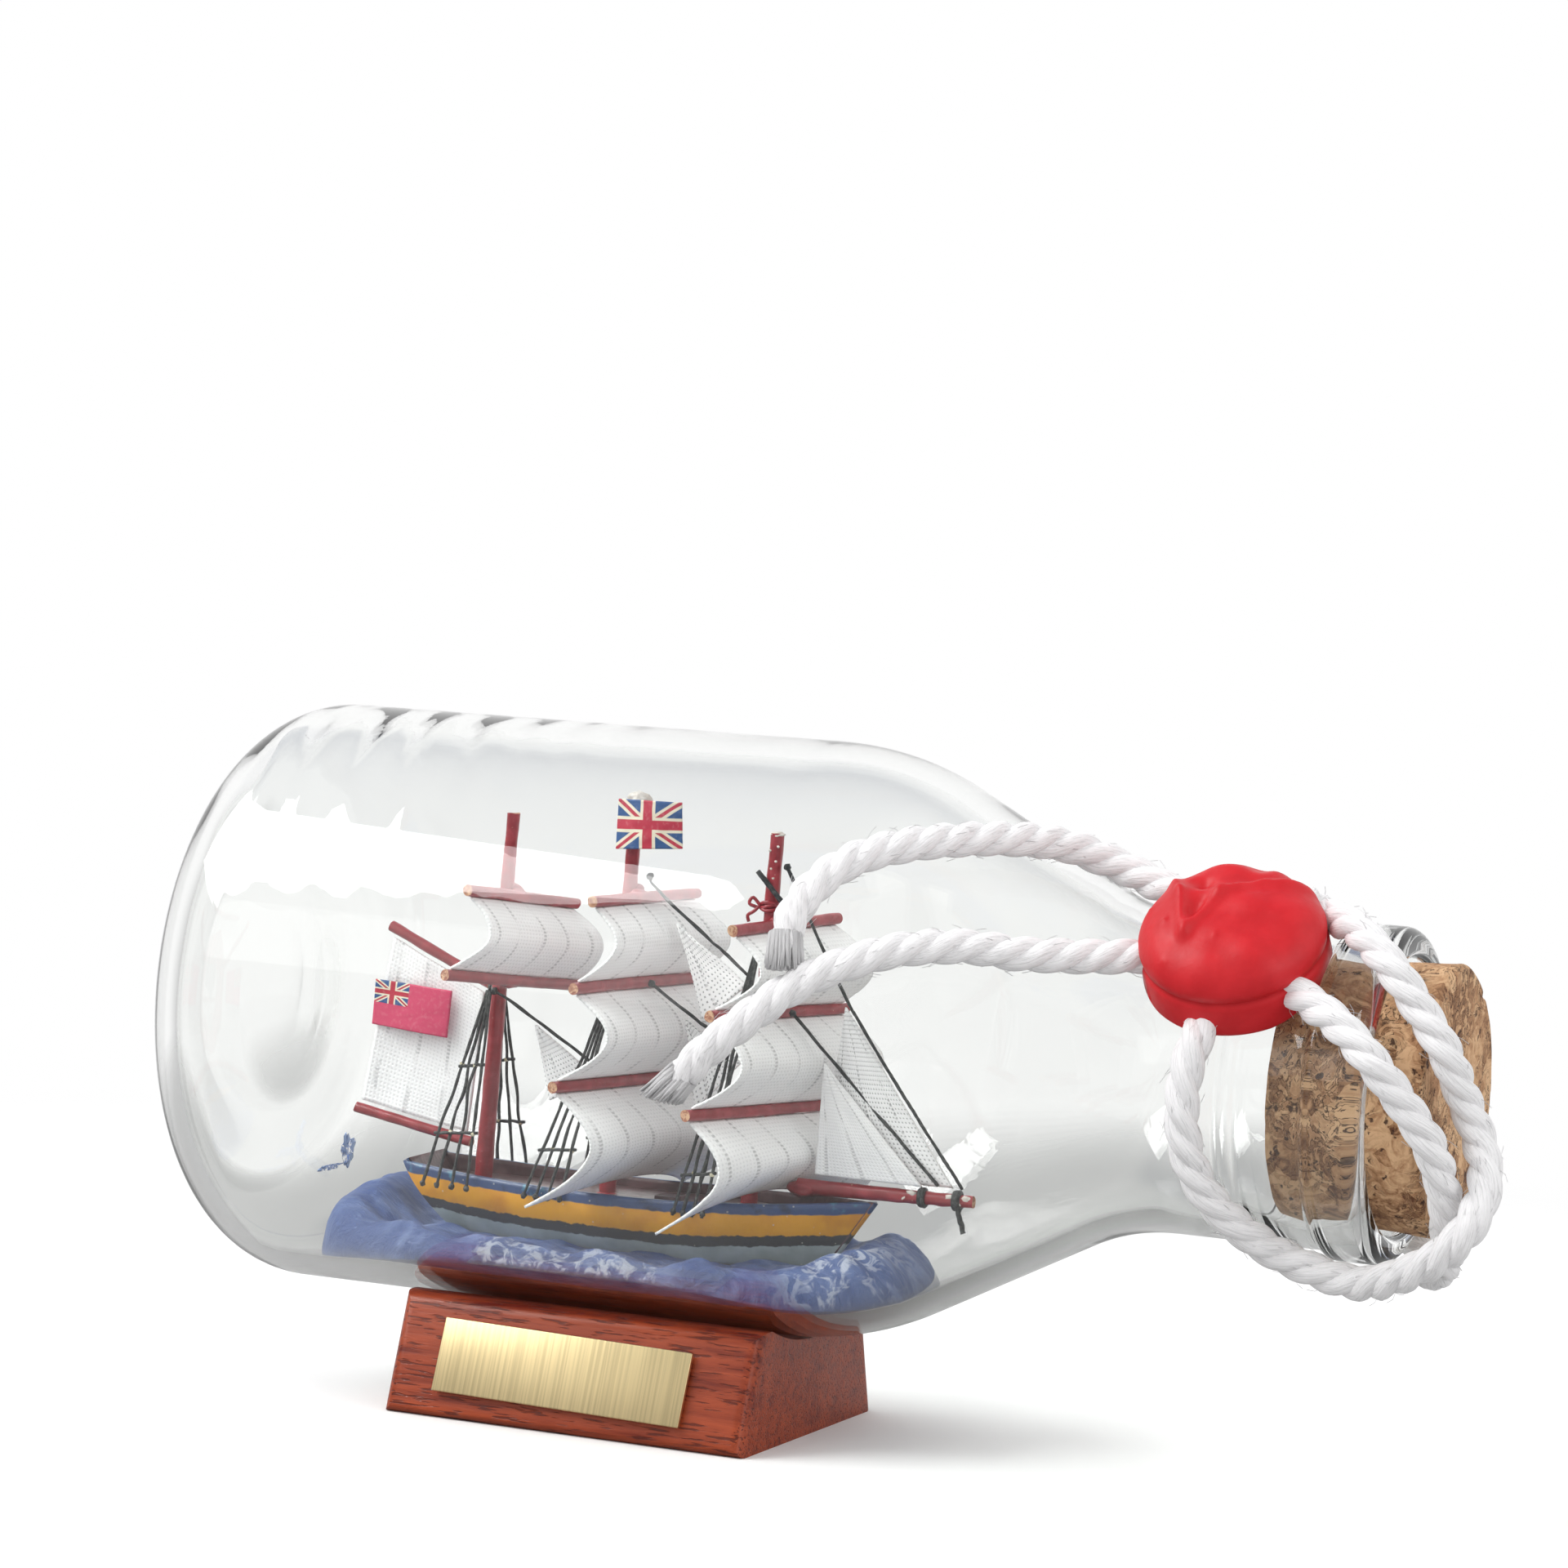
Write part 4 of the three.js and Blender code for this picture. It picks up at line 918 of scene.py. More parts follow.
ROPE_ROUTES = {
    "rope_tail_upper": place_points(
        (53.4, -4.0, 52.9), (49.7, -2.2, 53.9), (45.4, -1.9, 55.4), (41.4, -4.5, 56.9),
        (37.5, -9.2, 57.3), (33.3, -14.2, 57.0), (29.6, -18.4, 56.1), (26.8, -21.5, 54.5),
        (24.9, -24.0, 52.0), (24.1, -25.9, 49.0), (24.4, -26.8, 46.3),
    ),
    "rope_tail_lower": place_points(
        (50.8, -12.0, 48.1), (47.3, -13.5, 47.9), (42.3, -16.5, 47.9), (37.9, -18.9, 48.3),
        (33.2, -22.2, 47.8), (29.6, -24.7, 46.5), (26.0, -26.9, 44.6), (22.3, -28.6, 41.5),
        (18.9, -29.4, 38.4), (14.9, -29.5, 34.1),
    ),
    "rope_cork_loop": place_points(
        (66.6, -5.0, 52.6), (70.2, -8.4, 51.9), (74.1, -11.3, 49.4), (77.0, -11.6, 46.0),
        (79.7, -11.4, 42.1), (80.9, -8.9, 37.9), (82.2, -8.3, 34.6), (83.5, -10.6, 31.2),
        (82.8, -12.8, 27.6), (79.9, -12.2, 24.6), (75.8, -10.6, 22.3), (72.0, -8.6, 21.3),
        (67.9, -8.6, 22.1), (64.7, -9.1, 23.3), (62.2, -11.5, 25.4), (60.0, -13.7, 28.0),
        (58.5, -15.3, 31.3), (57.9, -16.2, 34.9), (57.9, -16.1, 38.3), (58.3, -15.5, 41.2),
    ),
    "rope_neck_loop": place_points(
        (67.9, -13.4, 45.7), (71.1, -15.1, 44.2), (74.5, -16.1, 41.4), (77.0, -14.7, 38.0),
        (79.1, -13.3, 34.6), (79.9, -10.7, 30.6), (79.8, -8.0, 26.9), (78.7, -4.1, 23.4),
        (76.2, 1.3, 21.5), (73.4, 7.9, 21.7), (70.5, 13.1, 25.7), (68.0, 16.3, 31.6),
        (65.6, 16.7, 37.6), (64.0, 14.9, 43.9), (62.9, 11.0, 49.1), (62.1, 5.6, 52.4),
        (61.6, 0.1, 53.4),
    ),
}
ROPE_FAR_ENDS = {
    "rope_tail_upper": "bare", "rope_tail_lower": "bare",
    "rope_cork_loop": "object", "rope_neck_loop": "object",
}
STRANDS = 3
STRAND_REACH = 0.215    # from the rope's middle to a strand's, as a share of the diameter
STRAND_RADIUS = 0.288   # as a share of the diameter
FIBRE_RADIUS = 0.18 * MM
HAIR_RADIUS = 0.022 * MM
HAIR_SPACING = 0.4 * MM
ROPE_STEP = 0.35 * MM
LEAST_TUCK = 1.2 * MM
TUCK_INSIDE_RIM = 2.0 * MM


def seal_direction():
    """From the bottle's axis out through the middle of the seal."""
    turn = settings().rope.seal_angle
    return Vector((0, -math.cos(turn), math.sin(turn)))


def tucked_in(line, goal, seal, step, both):
    """A line run on under the seal towards a goal, at its start and, if both is true, its end."""
    def run_on(point):
        ahead = goal - point
        reach = max(LEAST_TUCK, ahead.length - seal + TUCK_INSIDE_RIM)
        ahead.normalize()
        return [point + ahead * step * i for i in range(1, round(reach / step) + 1)]
    return [*reversed(run_on(line[0])), *line, *(run_on(line[-1]) if both else [])]


def strand_routes(line, diameter, lay, frayed):
    """The strands of a rope along a line, loosening towards a frayed end."""
    frames = side_frames(line)
    step = (line[1] - line[0]).length
    loosen = 3.0 * MM
    routes = []
    for strand in range(STRANDS):
        route = []
        for i, (point, (across, over)) in enumerate(zip(line, frames)):
            left = (len(line) - 1 - i) * step
            ease = min(1.0, left / loosen) if frayed else 1.0
            turn = TURN * (-i * step / lay + strand / STRANDS)
            reach = diameter * (STRAND_REACH + 0.03 * (1 - ease))
            swell = 1 + 0.05 * noise.noise(Vector((i * 0.11, strand * 5.0, len(line))))
            thick = swell * (0.72 + 0.28 * ease)
            route.append((point + (across * math.cos(turn) + over * math.sin(turn)) * reach, thick))
        routes.append(route)
    return routes


def brush_routes(line, diameter, length, count, draw):
    """Loose fibres that leave a cut rope's end in a soft brush."""
    frames = side_frames(line)
    ahead = (line[-1] - line[-4]).normalized()
    across, over = frames[-1]
    root = line[-1] - ahead * length * 0.8
    routes = []
    for _ in range(count):
        turn = draw.uniform(0, TURN)
        out = math.sqrt(draw.random())
        side = across * math.cos(turn) + over * math.sin(turn)
        start = root + side * out * diameter * 0.44
        reach = length * draw.uniform(0.88, 1.06) + 0.5 * side.z * out * diameter
        splay = side * out * draw.uniform(0.04, 0.14) * length
        bend = Vector(draw.uniform(-1, 1) for _ in range(3)) * 0.12 * MM
        routes.append([
            (start, 1.0),
            (start + ahead * reach * 0.5 + splay * 0.35 + bend, 0.9),
            (start + ahead * reach + splay, 0.55),
        ])
    return routes


def stray_routes(line, diameter, spacing, draw):
    """Short hairs that stand off a rope's surface."""
    frames = side_frames(line)
    step = (line[1] - line[0]).length
    routes = []
    for i in range(4, len(line) - 4):
        if draw.random() > step / spacing:
            continue
        turn = draw.uniform(0, TURN)
        across, over = frames[i]
        side = across * math.cos(turn) + over * math.sin(turn)
        ahead = (line[i + 3] - line[i - 3]).normalized() * draw.choice((-1, 1))
        start = line[i] + side * diameter * 0.40
        reach = draw.uniform(0.5, 1.3) * MM
        routes.append([
            start,
            start + side * 0.35 * reach + ahead * 0.4 * reach,
            start + side * draw.uniform(0.4, 0.7) * reach + ahead * reach,
        ])
    return routes


class SHIP_OT_rope(bpy.types.Operator):
    """Lay the rope's four stretches, twisted from three strands"""

    bl_idname = "ship.rope"
    bl_label = "Rope"

    def execute(self, context):
        sizes = settings().rope
        low, high = corners("wax_seal")
        goal = Vector(((low.x + high.x) / 2, 0, AXIS)) + seal_direction() * (
            settings().bottle.neck + sizes.diameter / 2)
        for seed, (node, route) in enumerate(ROPE_ROUTES.items()):
            draw = random.Random(seed)
            line = smooth_line(route, ROPE_STEP)
            frayed = ROPE_FAR_ENDS[node] == "bare"
            line = tucked_in(line, goal, sizes.seal, ROPE_STEP, both=not frayed)
            cut = round(0.3 * sizes.fray / ROPE_STEP) if frayed else 0
            strands = strand_routes(line[:len(line) - cut], sizes.diameter, sizes.lay, frayed)
            meshes = [tubes(strands, STRAND_RADIUS * sizes.diameter, 14)]
            if frayed:
                brush = brush_routes(line, sizes.diameter, sizes.fray, sizes.fibres, draw)
                meshes.append(tubes(brush, FIBRE_RADIUS, 4))
            strays = stray_routes(line, sizes.diameter, HAIR_SPACING, draw)
            meshes.append(tubes(strays, HAIR_RADIUS, 4))
            bm = bmesh.new()
            for mesh in meshes:
                bm.from_mesh(mesh)
                bpy.data.meshes.remove(mesh)
            name = f"{node}_strands"
            piece = make_piece(name, bm, [twisted_cotton()], [node])
            length = sum((b - a).length for a, b in zip(line, line[1:]))
            tuple(line[0])
            [tuple(point) for point in line]
        return {"FINISHED"}


# ---- Stand ---------------------------------------------------------------------------------


class SHIP_OT_stand(bpy.types.Operator):
    """Make the wooden base with its cradle, and the blank plate"""

    bl_idname = "ship.stand"
    bl_label = "Stand"

    def execute(self, context):
        self.make_base()
        self.make_plate()
        return {"FINISHED"}

    def make_base(self):
        sizes = settings().stand
        low, high = corners("base_block")
        cradle = BODY + 0.3 * MM
        top = high.y - sizes.slant
        reach = min(cradle - 0.01 * MM, math.sqrt(cradle ** 2 - (AXIS - high.z) ** 2))
        hollow_steps = 24
        hollow = [
            (0.0, y, AXIS - math.sqrt(cradle ** 2 - y ** 2))
            for y in (reach * (2 * i / hollow_steps - 1) for i in range(hollow_steps + 1))
        ]
        section = [
            (0.0, low.y, low.z), (0.0, high.y, low.z), (0.0, top, high.z),
            *reversed(hollow), (0.0, -top, high.z),
        ]
        bm = bmesh.new()
        ring = [bm.verts.new((low.x, y, z)) for _, y, z in section]
        face = bm.faces.new(ring)
        made = bmesh.ops.extrude_face_region(bm, geom=[face], use_keep_orig=True)["geom"]
        moved = [item for item in made if isinstance(item, bmesh.types.BMVert)]
        bmesh.ops.translate(bm, verts=moved, vec=(high.x - low.x, 0, 0))
        bmesh.ops.recalc_face_normals(bm, faces=bm.faces)
        sharp = [edge for edge in bm.edges if self.is_corner(edge)]
        bmesh.ops.bevel(
            bm, geom=sharp, offset=sizes.edge, affect="EDGES", segments=4, profile=0.5,
            material=-1, clamp_overlap=True,
        )
        bmesh.ops.triangulate(bm, faces=[face for face in bm.faces if len(face.verts) > 4])
        make_piece(
            "base_wood", bm, [stained_wood()],
            ["base_block"], crease=35,
        )

    @staticmethod
    def is_corner(edge):
        """True for the block's outer edges that were sanded, and not for those of the cradle."""
        if len(edge.link_faces) != 2 or edge.calc_face_angle() < math.radians(40):
            return False
        high = corners("base_block")[1]
        middle = sum((vertex.co for vertex in edge.verts), Vector()) / 2
        return abs(middle.y) > high.y - settings().stand.slant - 0.5 * MM

    def make_plate(self):
        sizes = settings().stand
        low, high = corners("nameplate")
        base_low, base_high = corners("base_block")
        bm = bmesh.new()
        bmesh.ops.create_cube(bm, size=1.0)
        scale = (sizes.plate_length, sizes.plate_thickness, sizes.plate_width)
        bmesh.ops.scale(bm, vec=scale, verts=bm.verts)
        bmesh.ops.bevel(
            bm, geom=list(bm.edges), offset=0.12 * MM, affect="EDGES", segments=3, profile=0.5,
            material=-1,
        )
        lean = math.atan2(sizes.slant, base_high.z - base_low.z)
        turn = Matrix.Rotation(-lean, 4, "X") @ Matrix.Rotation(sizes.plate_tilt, 4, "Y")
        bmesh.ops.transform(bm, matrix=turn, verts=bm.verts)
        bmesh.ops.translate(bm, verts=bm.verts, vec=(low + high) / 2)
        make_piece(
            "plate_brass", bm, [brushed_brass()],
            ["nameplate"], crease=30,
        )


# ---- Bottle, cork and seal -----------------------------------------------------------------


class BottleShape:
    """The bottle's two faces as profiles, and how far the glass is from its axis."""

    def __init__(self):
        sizes = settings().bottle
        self.sizes = sizes
        slope = sizes.shoulder_slope
        self.slope = slope
        self.shoulder_start = FOOT + sizes.body_length
        cone_start = self.shoulder_start + sizes.shoulder * math.sin(slope)
        cone_top = BODY - sizes.shoulder * (1 - math.cos(slope))
        cone_end = sizes.neck + sizes.throat * (1 - math.cos(slope))
        run = (cone_top - cone_end) / math.tan(slope)
        self.neck_start = cone_start + run + sizes.throat * math.sin(slope)

    def inner_radius(self, x, clearance=0.0):
        """Distance from the axis to the body's inner face, less a clearance."""
        sizes = self.sizes
        inset = sizes.wall + clearance
        if x <= self.shoulder_start:
            return BODY - inset
        reach = sizes.shoulder - inset
        arc_end = self.shoulder_start + reach * math.sin(self.slope)
        if x <= arc_end:
            drop = math.sqrt(reach ** 2 - (x - self.shoulder_start) ** 2)
            return BODY - sizes.shoulder + drop
        arc_radius = BODY - sizes.shoulder + reach * math.cos(self.slope)
        return arc_radius - (x - arc_end) * math.tan(self.slope)

    def hollow(self, radius):
        """Depth of the punt at a distance from the axis."""
        return self.sizes.punt_depth * math.cos(math.pi / 2 * min(1, radius / self.sizes.punt)) ** 2

    def bead(self, x, height):
        """A low ring moulded round the neck, as three points of its outline."""
        half = 0.55 * MM
        return [
            (x - half, self.sizes.neck), (x - half * 0.5, self.sizes.neck + height * 0.8),
            (x, self.sizes.neck + height), (x + half * 0.5, self.sizes.neck + height * 0.8),
            (x + half, self.sizes.neck),
        ]

    def outside(self):
        sizes = self.sizes
        degrees = math.degrees(self.slope)
        rim = BODY - sizes.heel
        foot = [
            (FOOT + self.hollow(radius), radius)
            for radius in (sizes.punt * i / 14 for i in range(15))
        ]
        body_steps = 24
        body_start, body_end = FOOT + sizes.heel, self.shoulder_start
        body = [
            (body_start + (body_end - body_start) * i / body_steps, BODY)
            for i in range(1, body_steps)
        ]
        lip_start = MOUTH - sizes.lip_length
        round_off = 1.0 * MM
        return [
            *foot,
            (FOOT, (sizes.punt + rim) / 2),
            *arc(body_start, rim, sizes.heel, 180, 90, 14),
            *body,
            *arc(self.shoulder_start, BODY - sizes.shoulder, sizes.shoulder, 90, 90 - degrees, 12),
            *arc(self.neck_start, sizes.neck + sizes.throat, sizes.throat, 270 - degrees, 270, 12),
            *self.bead(self.neck_start + 6.6 * MM, 0.28 * MM),
            *self.bead(self.neck_start + 8.4 * MM, 0.22 * MM),
            (lip_start - 0.3 * MM, sizes.neck),
            (lip_start, sizes.neck + 0.15 * MM),
            *arc(lip_start + round_off, sizes.lip - round_off, round_off, 165, 90, 5),
            *arc(MOUTH - 1.4 * MM, sizes.lip - 1.4 * MM, 1.4 * MM, 90, 0, 7),
        ]

    def inside(self):
        sizes = self.sizes
        degrees = math.degrees(self.slope)
        wall = sizes.wall
        rim = BODY - sizes.heel
        body_start, body_end = FOOT + sizes.heel, self.shoulder_start
        body_steps = 40
        body = [
            (body_end - (body_end - body_start) * i / body_steps, BODY - wall)
            for i in range(1, body_steps)
        ]
        rise = 9 * MM
        floor = [
            (
                FOOT + wall + (sizes.foot - wall) * (
                    0.5 - 0.5 * math.cos(math.pi * min(1.0, (rim - r) / rise))),
                r,
            )
            for r in (rim * (1 - i / 14) for i in range(1, 15))
        ]
        bore = sizes.neck - wall
        return [
            (MOUTH, sizes.lip - 1.4 * MM),
            *arc(MOUTH - 0.8 * MM, bore + 0.8 * MM, 0.8 * MM, 0, -90, 5),
            (MOUTH - 6.0 * MM, bore),
            *arc(
                self.neck_start, sizes.neck + sizes.throat, sizes.throat + wall,
                270, 270 - degrees, 12,
            ),
            *arc(
                self.shoulder_start, BODY - sizes.shoulder, sizes.shoulder - wall,
                90 - degrees, 90, 12,
            ),
            *body,
            *arc(body_start, rim, sizes.heel - wall, 90, 180, 12),
            *floor,
        ]


class SHIP_OT_bottle(bpy.types.Operator):
    """Blow the glass bottle, with an uneven inner face"""

    bl_idname = "ship.bottle"
    bl_label = "Bottle"

    def execute(self, context):
        shape = BottleShape()
        steps = 160
        bm = bmesh.new()
        revolve(bm, shape.outside(), AXIS, steps)
        inner = revolve(bm, shape.inside(), AXIS, steps)
        ripple = settings().bottle.ripple
        for vertex in inner:
            self.ruffle(vertex, ripple)
        close_up(bm)
        make_piece(
            "bottle_glass", bm, [clear_glass()],
            ["bottle"],
        )
        bm = bmesh.new()
        for spot, spread in (((10.8, 19.6), (0.15, 1.1, 1.5)), ((7.2, 18.2), (0.1, 2.2, 0.25))):
            place = Vector((FOOT + settings().bottle.wall + 2.4 * MM, spot[0] * MM, spot[1] * MM))
            lump(bm, place, Vector(spread) * MM, spot[0], 0.8, 3)
        make_piece("paint_smear", bm, [blue_smear()])
        return {"FINISHED"}

    @staticmethod
    def ruffle(vertex, ripple):
        """Moves a point of the inner face along its radius: rings, streaks and thick patches."""
        x, y, z = vertex.co
        radius = math.hypot(y, z - AXIS)
        if radius < 6 * MM or x > MOUTH - 3 * MM:
            return
        turn = math.atan2(z - AXIS, y)
        around = Vector((2.2 * math.cos(turn), 2.2 * math.sin(turn), x / (9 * MM)))
        broad = noise.noise(around)
        slant = (x - 7 * MM * (turn - math.pi / 2)) / (5.2 * MM)
        streak = math.sin(TURN * slant + 2.5 * broad) * (0.6 + noise.noise(around * 1.9))
        top = max(0.0, math.sin(turn)) ** 2
        heel = math.exp(-(((x - FOOT - 11 * MM) / (17 * MM)) ** 2)) * top
        change = ripple * (0.4 * broad + 3.6 * heel * streak)
        factor = (radius - change) / radius
        vertex.co = (x, y * factor, AXIS + (z - AXIS) * factor)


class SHIP_OT_cork(bpy.types.Operator):
    """Cut the tapered cork"""

    bl_idname = "ship.cork"
    bl_label = "Cork"

    def execute(self, context):
        sizes = settings().bottle
        low, high = corners("cork")
        taper = math.tan(sizes.cork_taper)
        edge = 0.9 * MM
        side_steps = 34
        side = [
            (x, sizes.cork - (high.x - x) * taper)
            for x in (low.x + (high.x - edge - low.x) * i / side_steps for i in range(side_steps + 1))
        ]
        inner_end = [(low.x, side[0][1] * i / 10) for i in range(10)]
        outer_end = [(high.x, (sizes.cork - edge) * (1 - i / 26)) for i in range(1, 27)]
        bm = bmesh.new()
        revolve(
            bm, [*inner_end, *side, *arc(high.x - edge, sizes.cork - edge, edge, 75, 0, 5), *outer_end],
            AXIS, 128,
        )
        close_up(bm)
        bm.normal_update()
        for vertex in bm.verts:
            grain = noise.noise(vertex.co * 420)
            pit = max(0.0, noise.noise(vertex.co * 700 + Vector((7, 3, 1))) - 0.42)
            vertex.co -= vertex.normal * (0.08 * MM * grain + 1.1 * MM * pit + 0.02 * MM)
        make_piece("cork_cut", bm, [chipped_cork()], ["cork"], crease=60)
        return {"FINISHED"}


# Folds of the seal's crown: start, end, width and height. Pits and blisters: middle, width and
# height. Places and widths are shares of the seal's radius, up the neck's round and along it.
SEAL_FOLDS = (
    ((0.60, -0.84), (0.17, -0.57), 0.07, 0.30), ((0.17, -0.57), (-0.46, -0.35), 0.07, 0.34),
    ((-0.46, -0.35), (0.19, -0.13), 0.07, 0.34), ((0.19, -0.13), (0.50, 0.25), 0.08, 0.32),
    ((0.50, 0.25), (0.75, 0.90), 0.09, 0.28), ((0.05, -0.30), (-0.20, -0.33), 0.10, -0.22),
    ((0.42, 0.00), (0.75, 0.45), 0.18, -0.35), ((0.75, -0.10), (0.70, -0.50), 0.12, 0.20),
)
SEAL_PITS = (
    (0.37, -0.37, 0.11, -0.40), (0.85, 0.10, 0.12, -0.30), (0.03, -0.89, 0.035, 0.14),
    (-0.25, -0.63, 0.035, 0.14), (-0.75, -0.50, 0.035, 0.12), (-0.45, 0.0, 0.03, 0.08),
)
SEAL_RELIEF = 2.0 * MM


class SHIP_OT_seal(bpy.types.Operator):
    """Press the wax seal onto the rope"""

    bl_idname = "ship.seal"
    bl_label = "Wax Seal"

    def execute(self, context):
        sizes = settings().rope
        low, high = corners("wax_seal")
        radius = sizes.seal
        rim = sizes.seal_rim
        profile = [(-sizes.seal_sink, radius * i / 8) for i in range(8)]
        profile += arc(-sizes.seal_sink + 0.7 * MM, radius - 0.7 * MM, 0.7 * MM, 180, 90, 4)
        profile += [
            (rim * 0.28, radius), (rim * 0.40, radius - 0.10 * MM), (rim * 0.48, radius - 0.42 * MM),
            (rim * 0.56, radius - 0.10 * MM), (rim * 0.70, radius - 0.02 * MM),
        ]
        crown_steps = 40
        crown = [i / crown_steps for i in range(crown_steps + 1)]
        profile += [
            (
                rim * 0.72 + (rim * 0.28 + sizes.seal_dome) * math.sin(math.pi / 2 * t),
                radius * math.cos(math.pi / 2 * t) ** 0.75 if t < 1 else 0.0,
            )
            for t in crown[1:]
        ]
        bm = bmesh.new()
        revolve(bm, profile, 0.0, 128)
        close_up(bm)
        top = rim * 0.72
        for vertex in bm.verts:
            if vertex.co.x > top * 0.9:
                self.press(vertex, radius, top)
        out = seal_direction()
        along = Vector((1, 0, 0))
        frame_turn = Matrix((out, out.cross(along), along)).transposed()
        middle = Vector(((low.x + high.x) / 2 - 0.4 * MM, 0, AXIS))
        middle += out * (settings().bottle.neck + 0.3 * MM)
        bmesh.ops.transform(bm, matrix=frame_turn.to_4x4(), verts=bm.verts)
        bmesh.ops.translate(bm, verts=bm.verts, vec=middle)
        neck = settings().bottle.neck + 0.02 * MM
        for vertex in bm.verts:
            x, y, z = vertex.co
            outwards = max(1.0, neck / math.hypot(y, z - AXIS))
            vertex.co = (x, y * outwards, AXIS + (z - AXIS) * outwards)
        bmesh.ops.recalc_face_normals(bm, faces=bm.faces)
        make_piece("seal_wax", bm, [pressed_wax()], ["wax_seal"])
        return {"FINISHED"}

    @staticmethod
    def press(vertex, radius, top):
        """Folds, pits and blisters in the seal's crown. X is its height here."""
        x, across, along = vertex.co
        u, v = across / radius, along / radius
        level = min(1.0, max(0.0, (x - top * 0.9) / (0.8 * MM)))

        def crease(start, end, width, depth):
            a, b = Vector(start), Vector(end)
            run = b - a
            t = min(1.0, max(0.0, (Vector((u, v)) - a).dot(run) / run.length_squared))
            away = (Vector((u, v)) - a - run * t).length
            swell = 0.4 + 0.6 * math.sin(math.pi * (0.1 + 0.8 * t))
            return depth * math.exp(-((away / width) ** 2)) * swell

        change = sum(crease(*fold) for fold in SEAL_FOLDS)
        for pit_u, pit_v, width, depth in SEAL_PITS:
            away = math.hypot(u - pit_u, v - pit_v)
            change += depth * math.exp(-((away / width) ** 2))
        change += 0.22 * noise.noise(Vector((u * 2.4, v * 2.4, 3.0)))
        vertex.co.x += change * level * SEAL_RELIEF


# ---- Sea and hull --------------------------------------------------------------------------


SEA_BLUNTNESS = 0.75    # 1 for an oval outline, less for a squarer one


class SHIP_OT_sea(bpy.types.Operator):
    """Mould the sea into the low side of the bottle"""

    bl_idname = "ship.sea"
    bl_label = "Sea"

    def execute(self, context):
        low, high = corners("sea")
        shape = BottleShape()
        middle = (low + high) / 2
        half = (high - low) / 2
        bm = bmesh.new()
        layer = bm.verts.layers.float.new("foam")
        bmesh.ops.create_grid(bm, x_segments=150, y_segments=76, size=1.0)
        for vertex in bm.verts:
            u, v = vertex.co.x, vertex.co.y
            reach = max(abs(u), abs(v))
            turn = math.atan2(v, u)
            ragged = 1 - 0.035 * (1 + noise.noise(Vector((2 * math.cos(turn), 2 * math.sin(turn), 4))))
            c, s = math.cos(turn), math.sin(turn)
            x = middle.x + half.x * reach * ragged * math.copysign(abs(c) ** SEA_BLUNTNESS, c)
            y = middle.y + half.y * reach * ragged * math.copysign(abs(s) ** SEA_BLUNTNESS, s)
            floor = AXIS - math.sqrt(shape.inner_radius(x, 0.12 * MM) ** 2 - y ** 2)
            top = self.surface(x, y, reach)
            roll = max(0.0, (reach - 0.93) / 0.07)
            top -= (top - floor) * (1 - math.sqrt(1 - roll * roll)) * 0.85
            vertex.co = (x, y, max(top, floor + 0.25 * MM))
        tops = list(bm.verts)
        faces = list(bm.faces)
        made = bmesh.ops.extrude_face_region(bm, geom=faces, use_keep_orig=True)["geom"]
        for vertex in made:
            if isinstance(vertex, bmesh.types.BMVert):
                x, y, _ = vertex.co
                vertex.co.z = AXIS - math.sqrt(shape.inner_radius(x, 0.1 * MM) ** 2 - y ** 2)
        bmesh.ops.recalc_face_normals(bm, faces=bm.faces)
        for vertex in tops:
            x, y, _ = vertex.co
            rim = max(0.0, -y / half.y - 0.45)
            crest = math.exp(-(((x - 23 * MM) / (4 * MM)) ** 2) - ((y + 6 * MM) / (7 * MM)) ** 2)
            vertex[layer] = min(1.0, 0.9 * rim * (-10 * MM < x < 8 * MM) + 0.55 * crest)
        make_piece("sea_moulded", bm, [sea_putty()], ["sea"], crease=60)
        return {"FINISHED"}

    @staticmethod
    def surface(x, y, reach):
        """Height of the sea: crests at both ends, ripples, and a lip pressed up round its rim."""
        level = settings().ship.sea_level
        a, b = x / MM, y / MM
        stern = 3.0 * math.exp(-(((a + 27) / 5) ** 2) - ((b - 2) / 11) ** 2)
        bow = 2.2 * math.exp(-(((a - 24) / 5) ** 2) - ((b + 1) / 11) ** 2)
        ripple = 0.25 * math.sin(a * 0.62 + 0.8 * math.sin(b * 0.5))
        chop = 0.7 * noise.noise(Vector((a * 0.16, b * 0.28, 1.0)))
        fine = 0.4 * noise.noise(Vector((a * 0.42, b * 0.75, 7.0)))
        curl = 1.1 * math.exp(-(((reach - 0.86) / 0.07) ** 2)) * (
            0.6 + 0.4 * noise.noise(Vector((a * 0.12, b * 0.12, 2.0))))
        return level + (stern + bow + ripple + chop + fine + curl + 0.006 * b * b) * MM


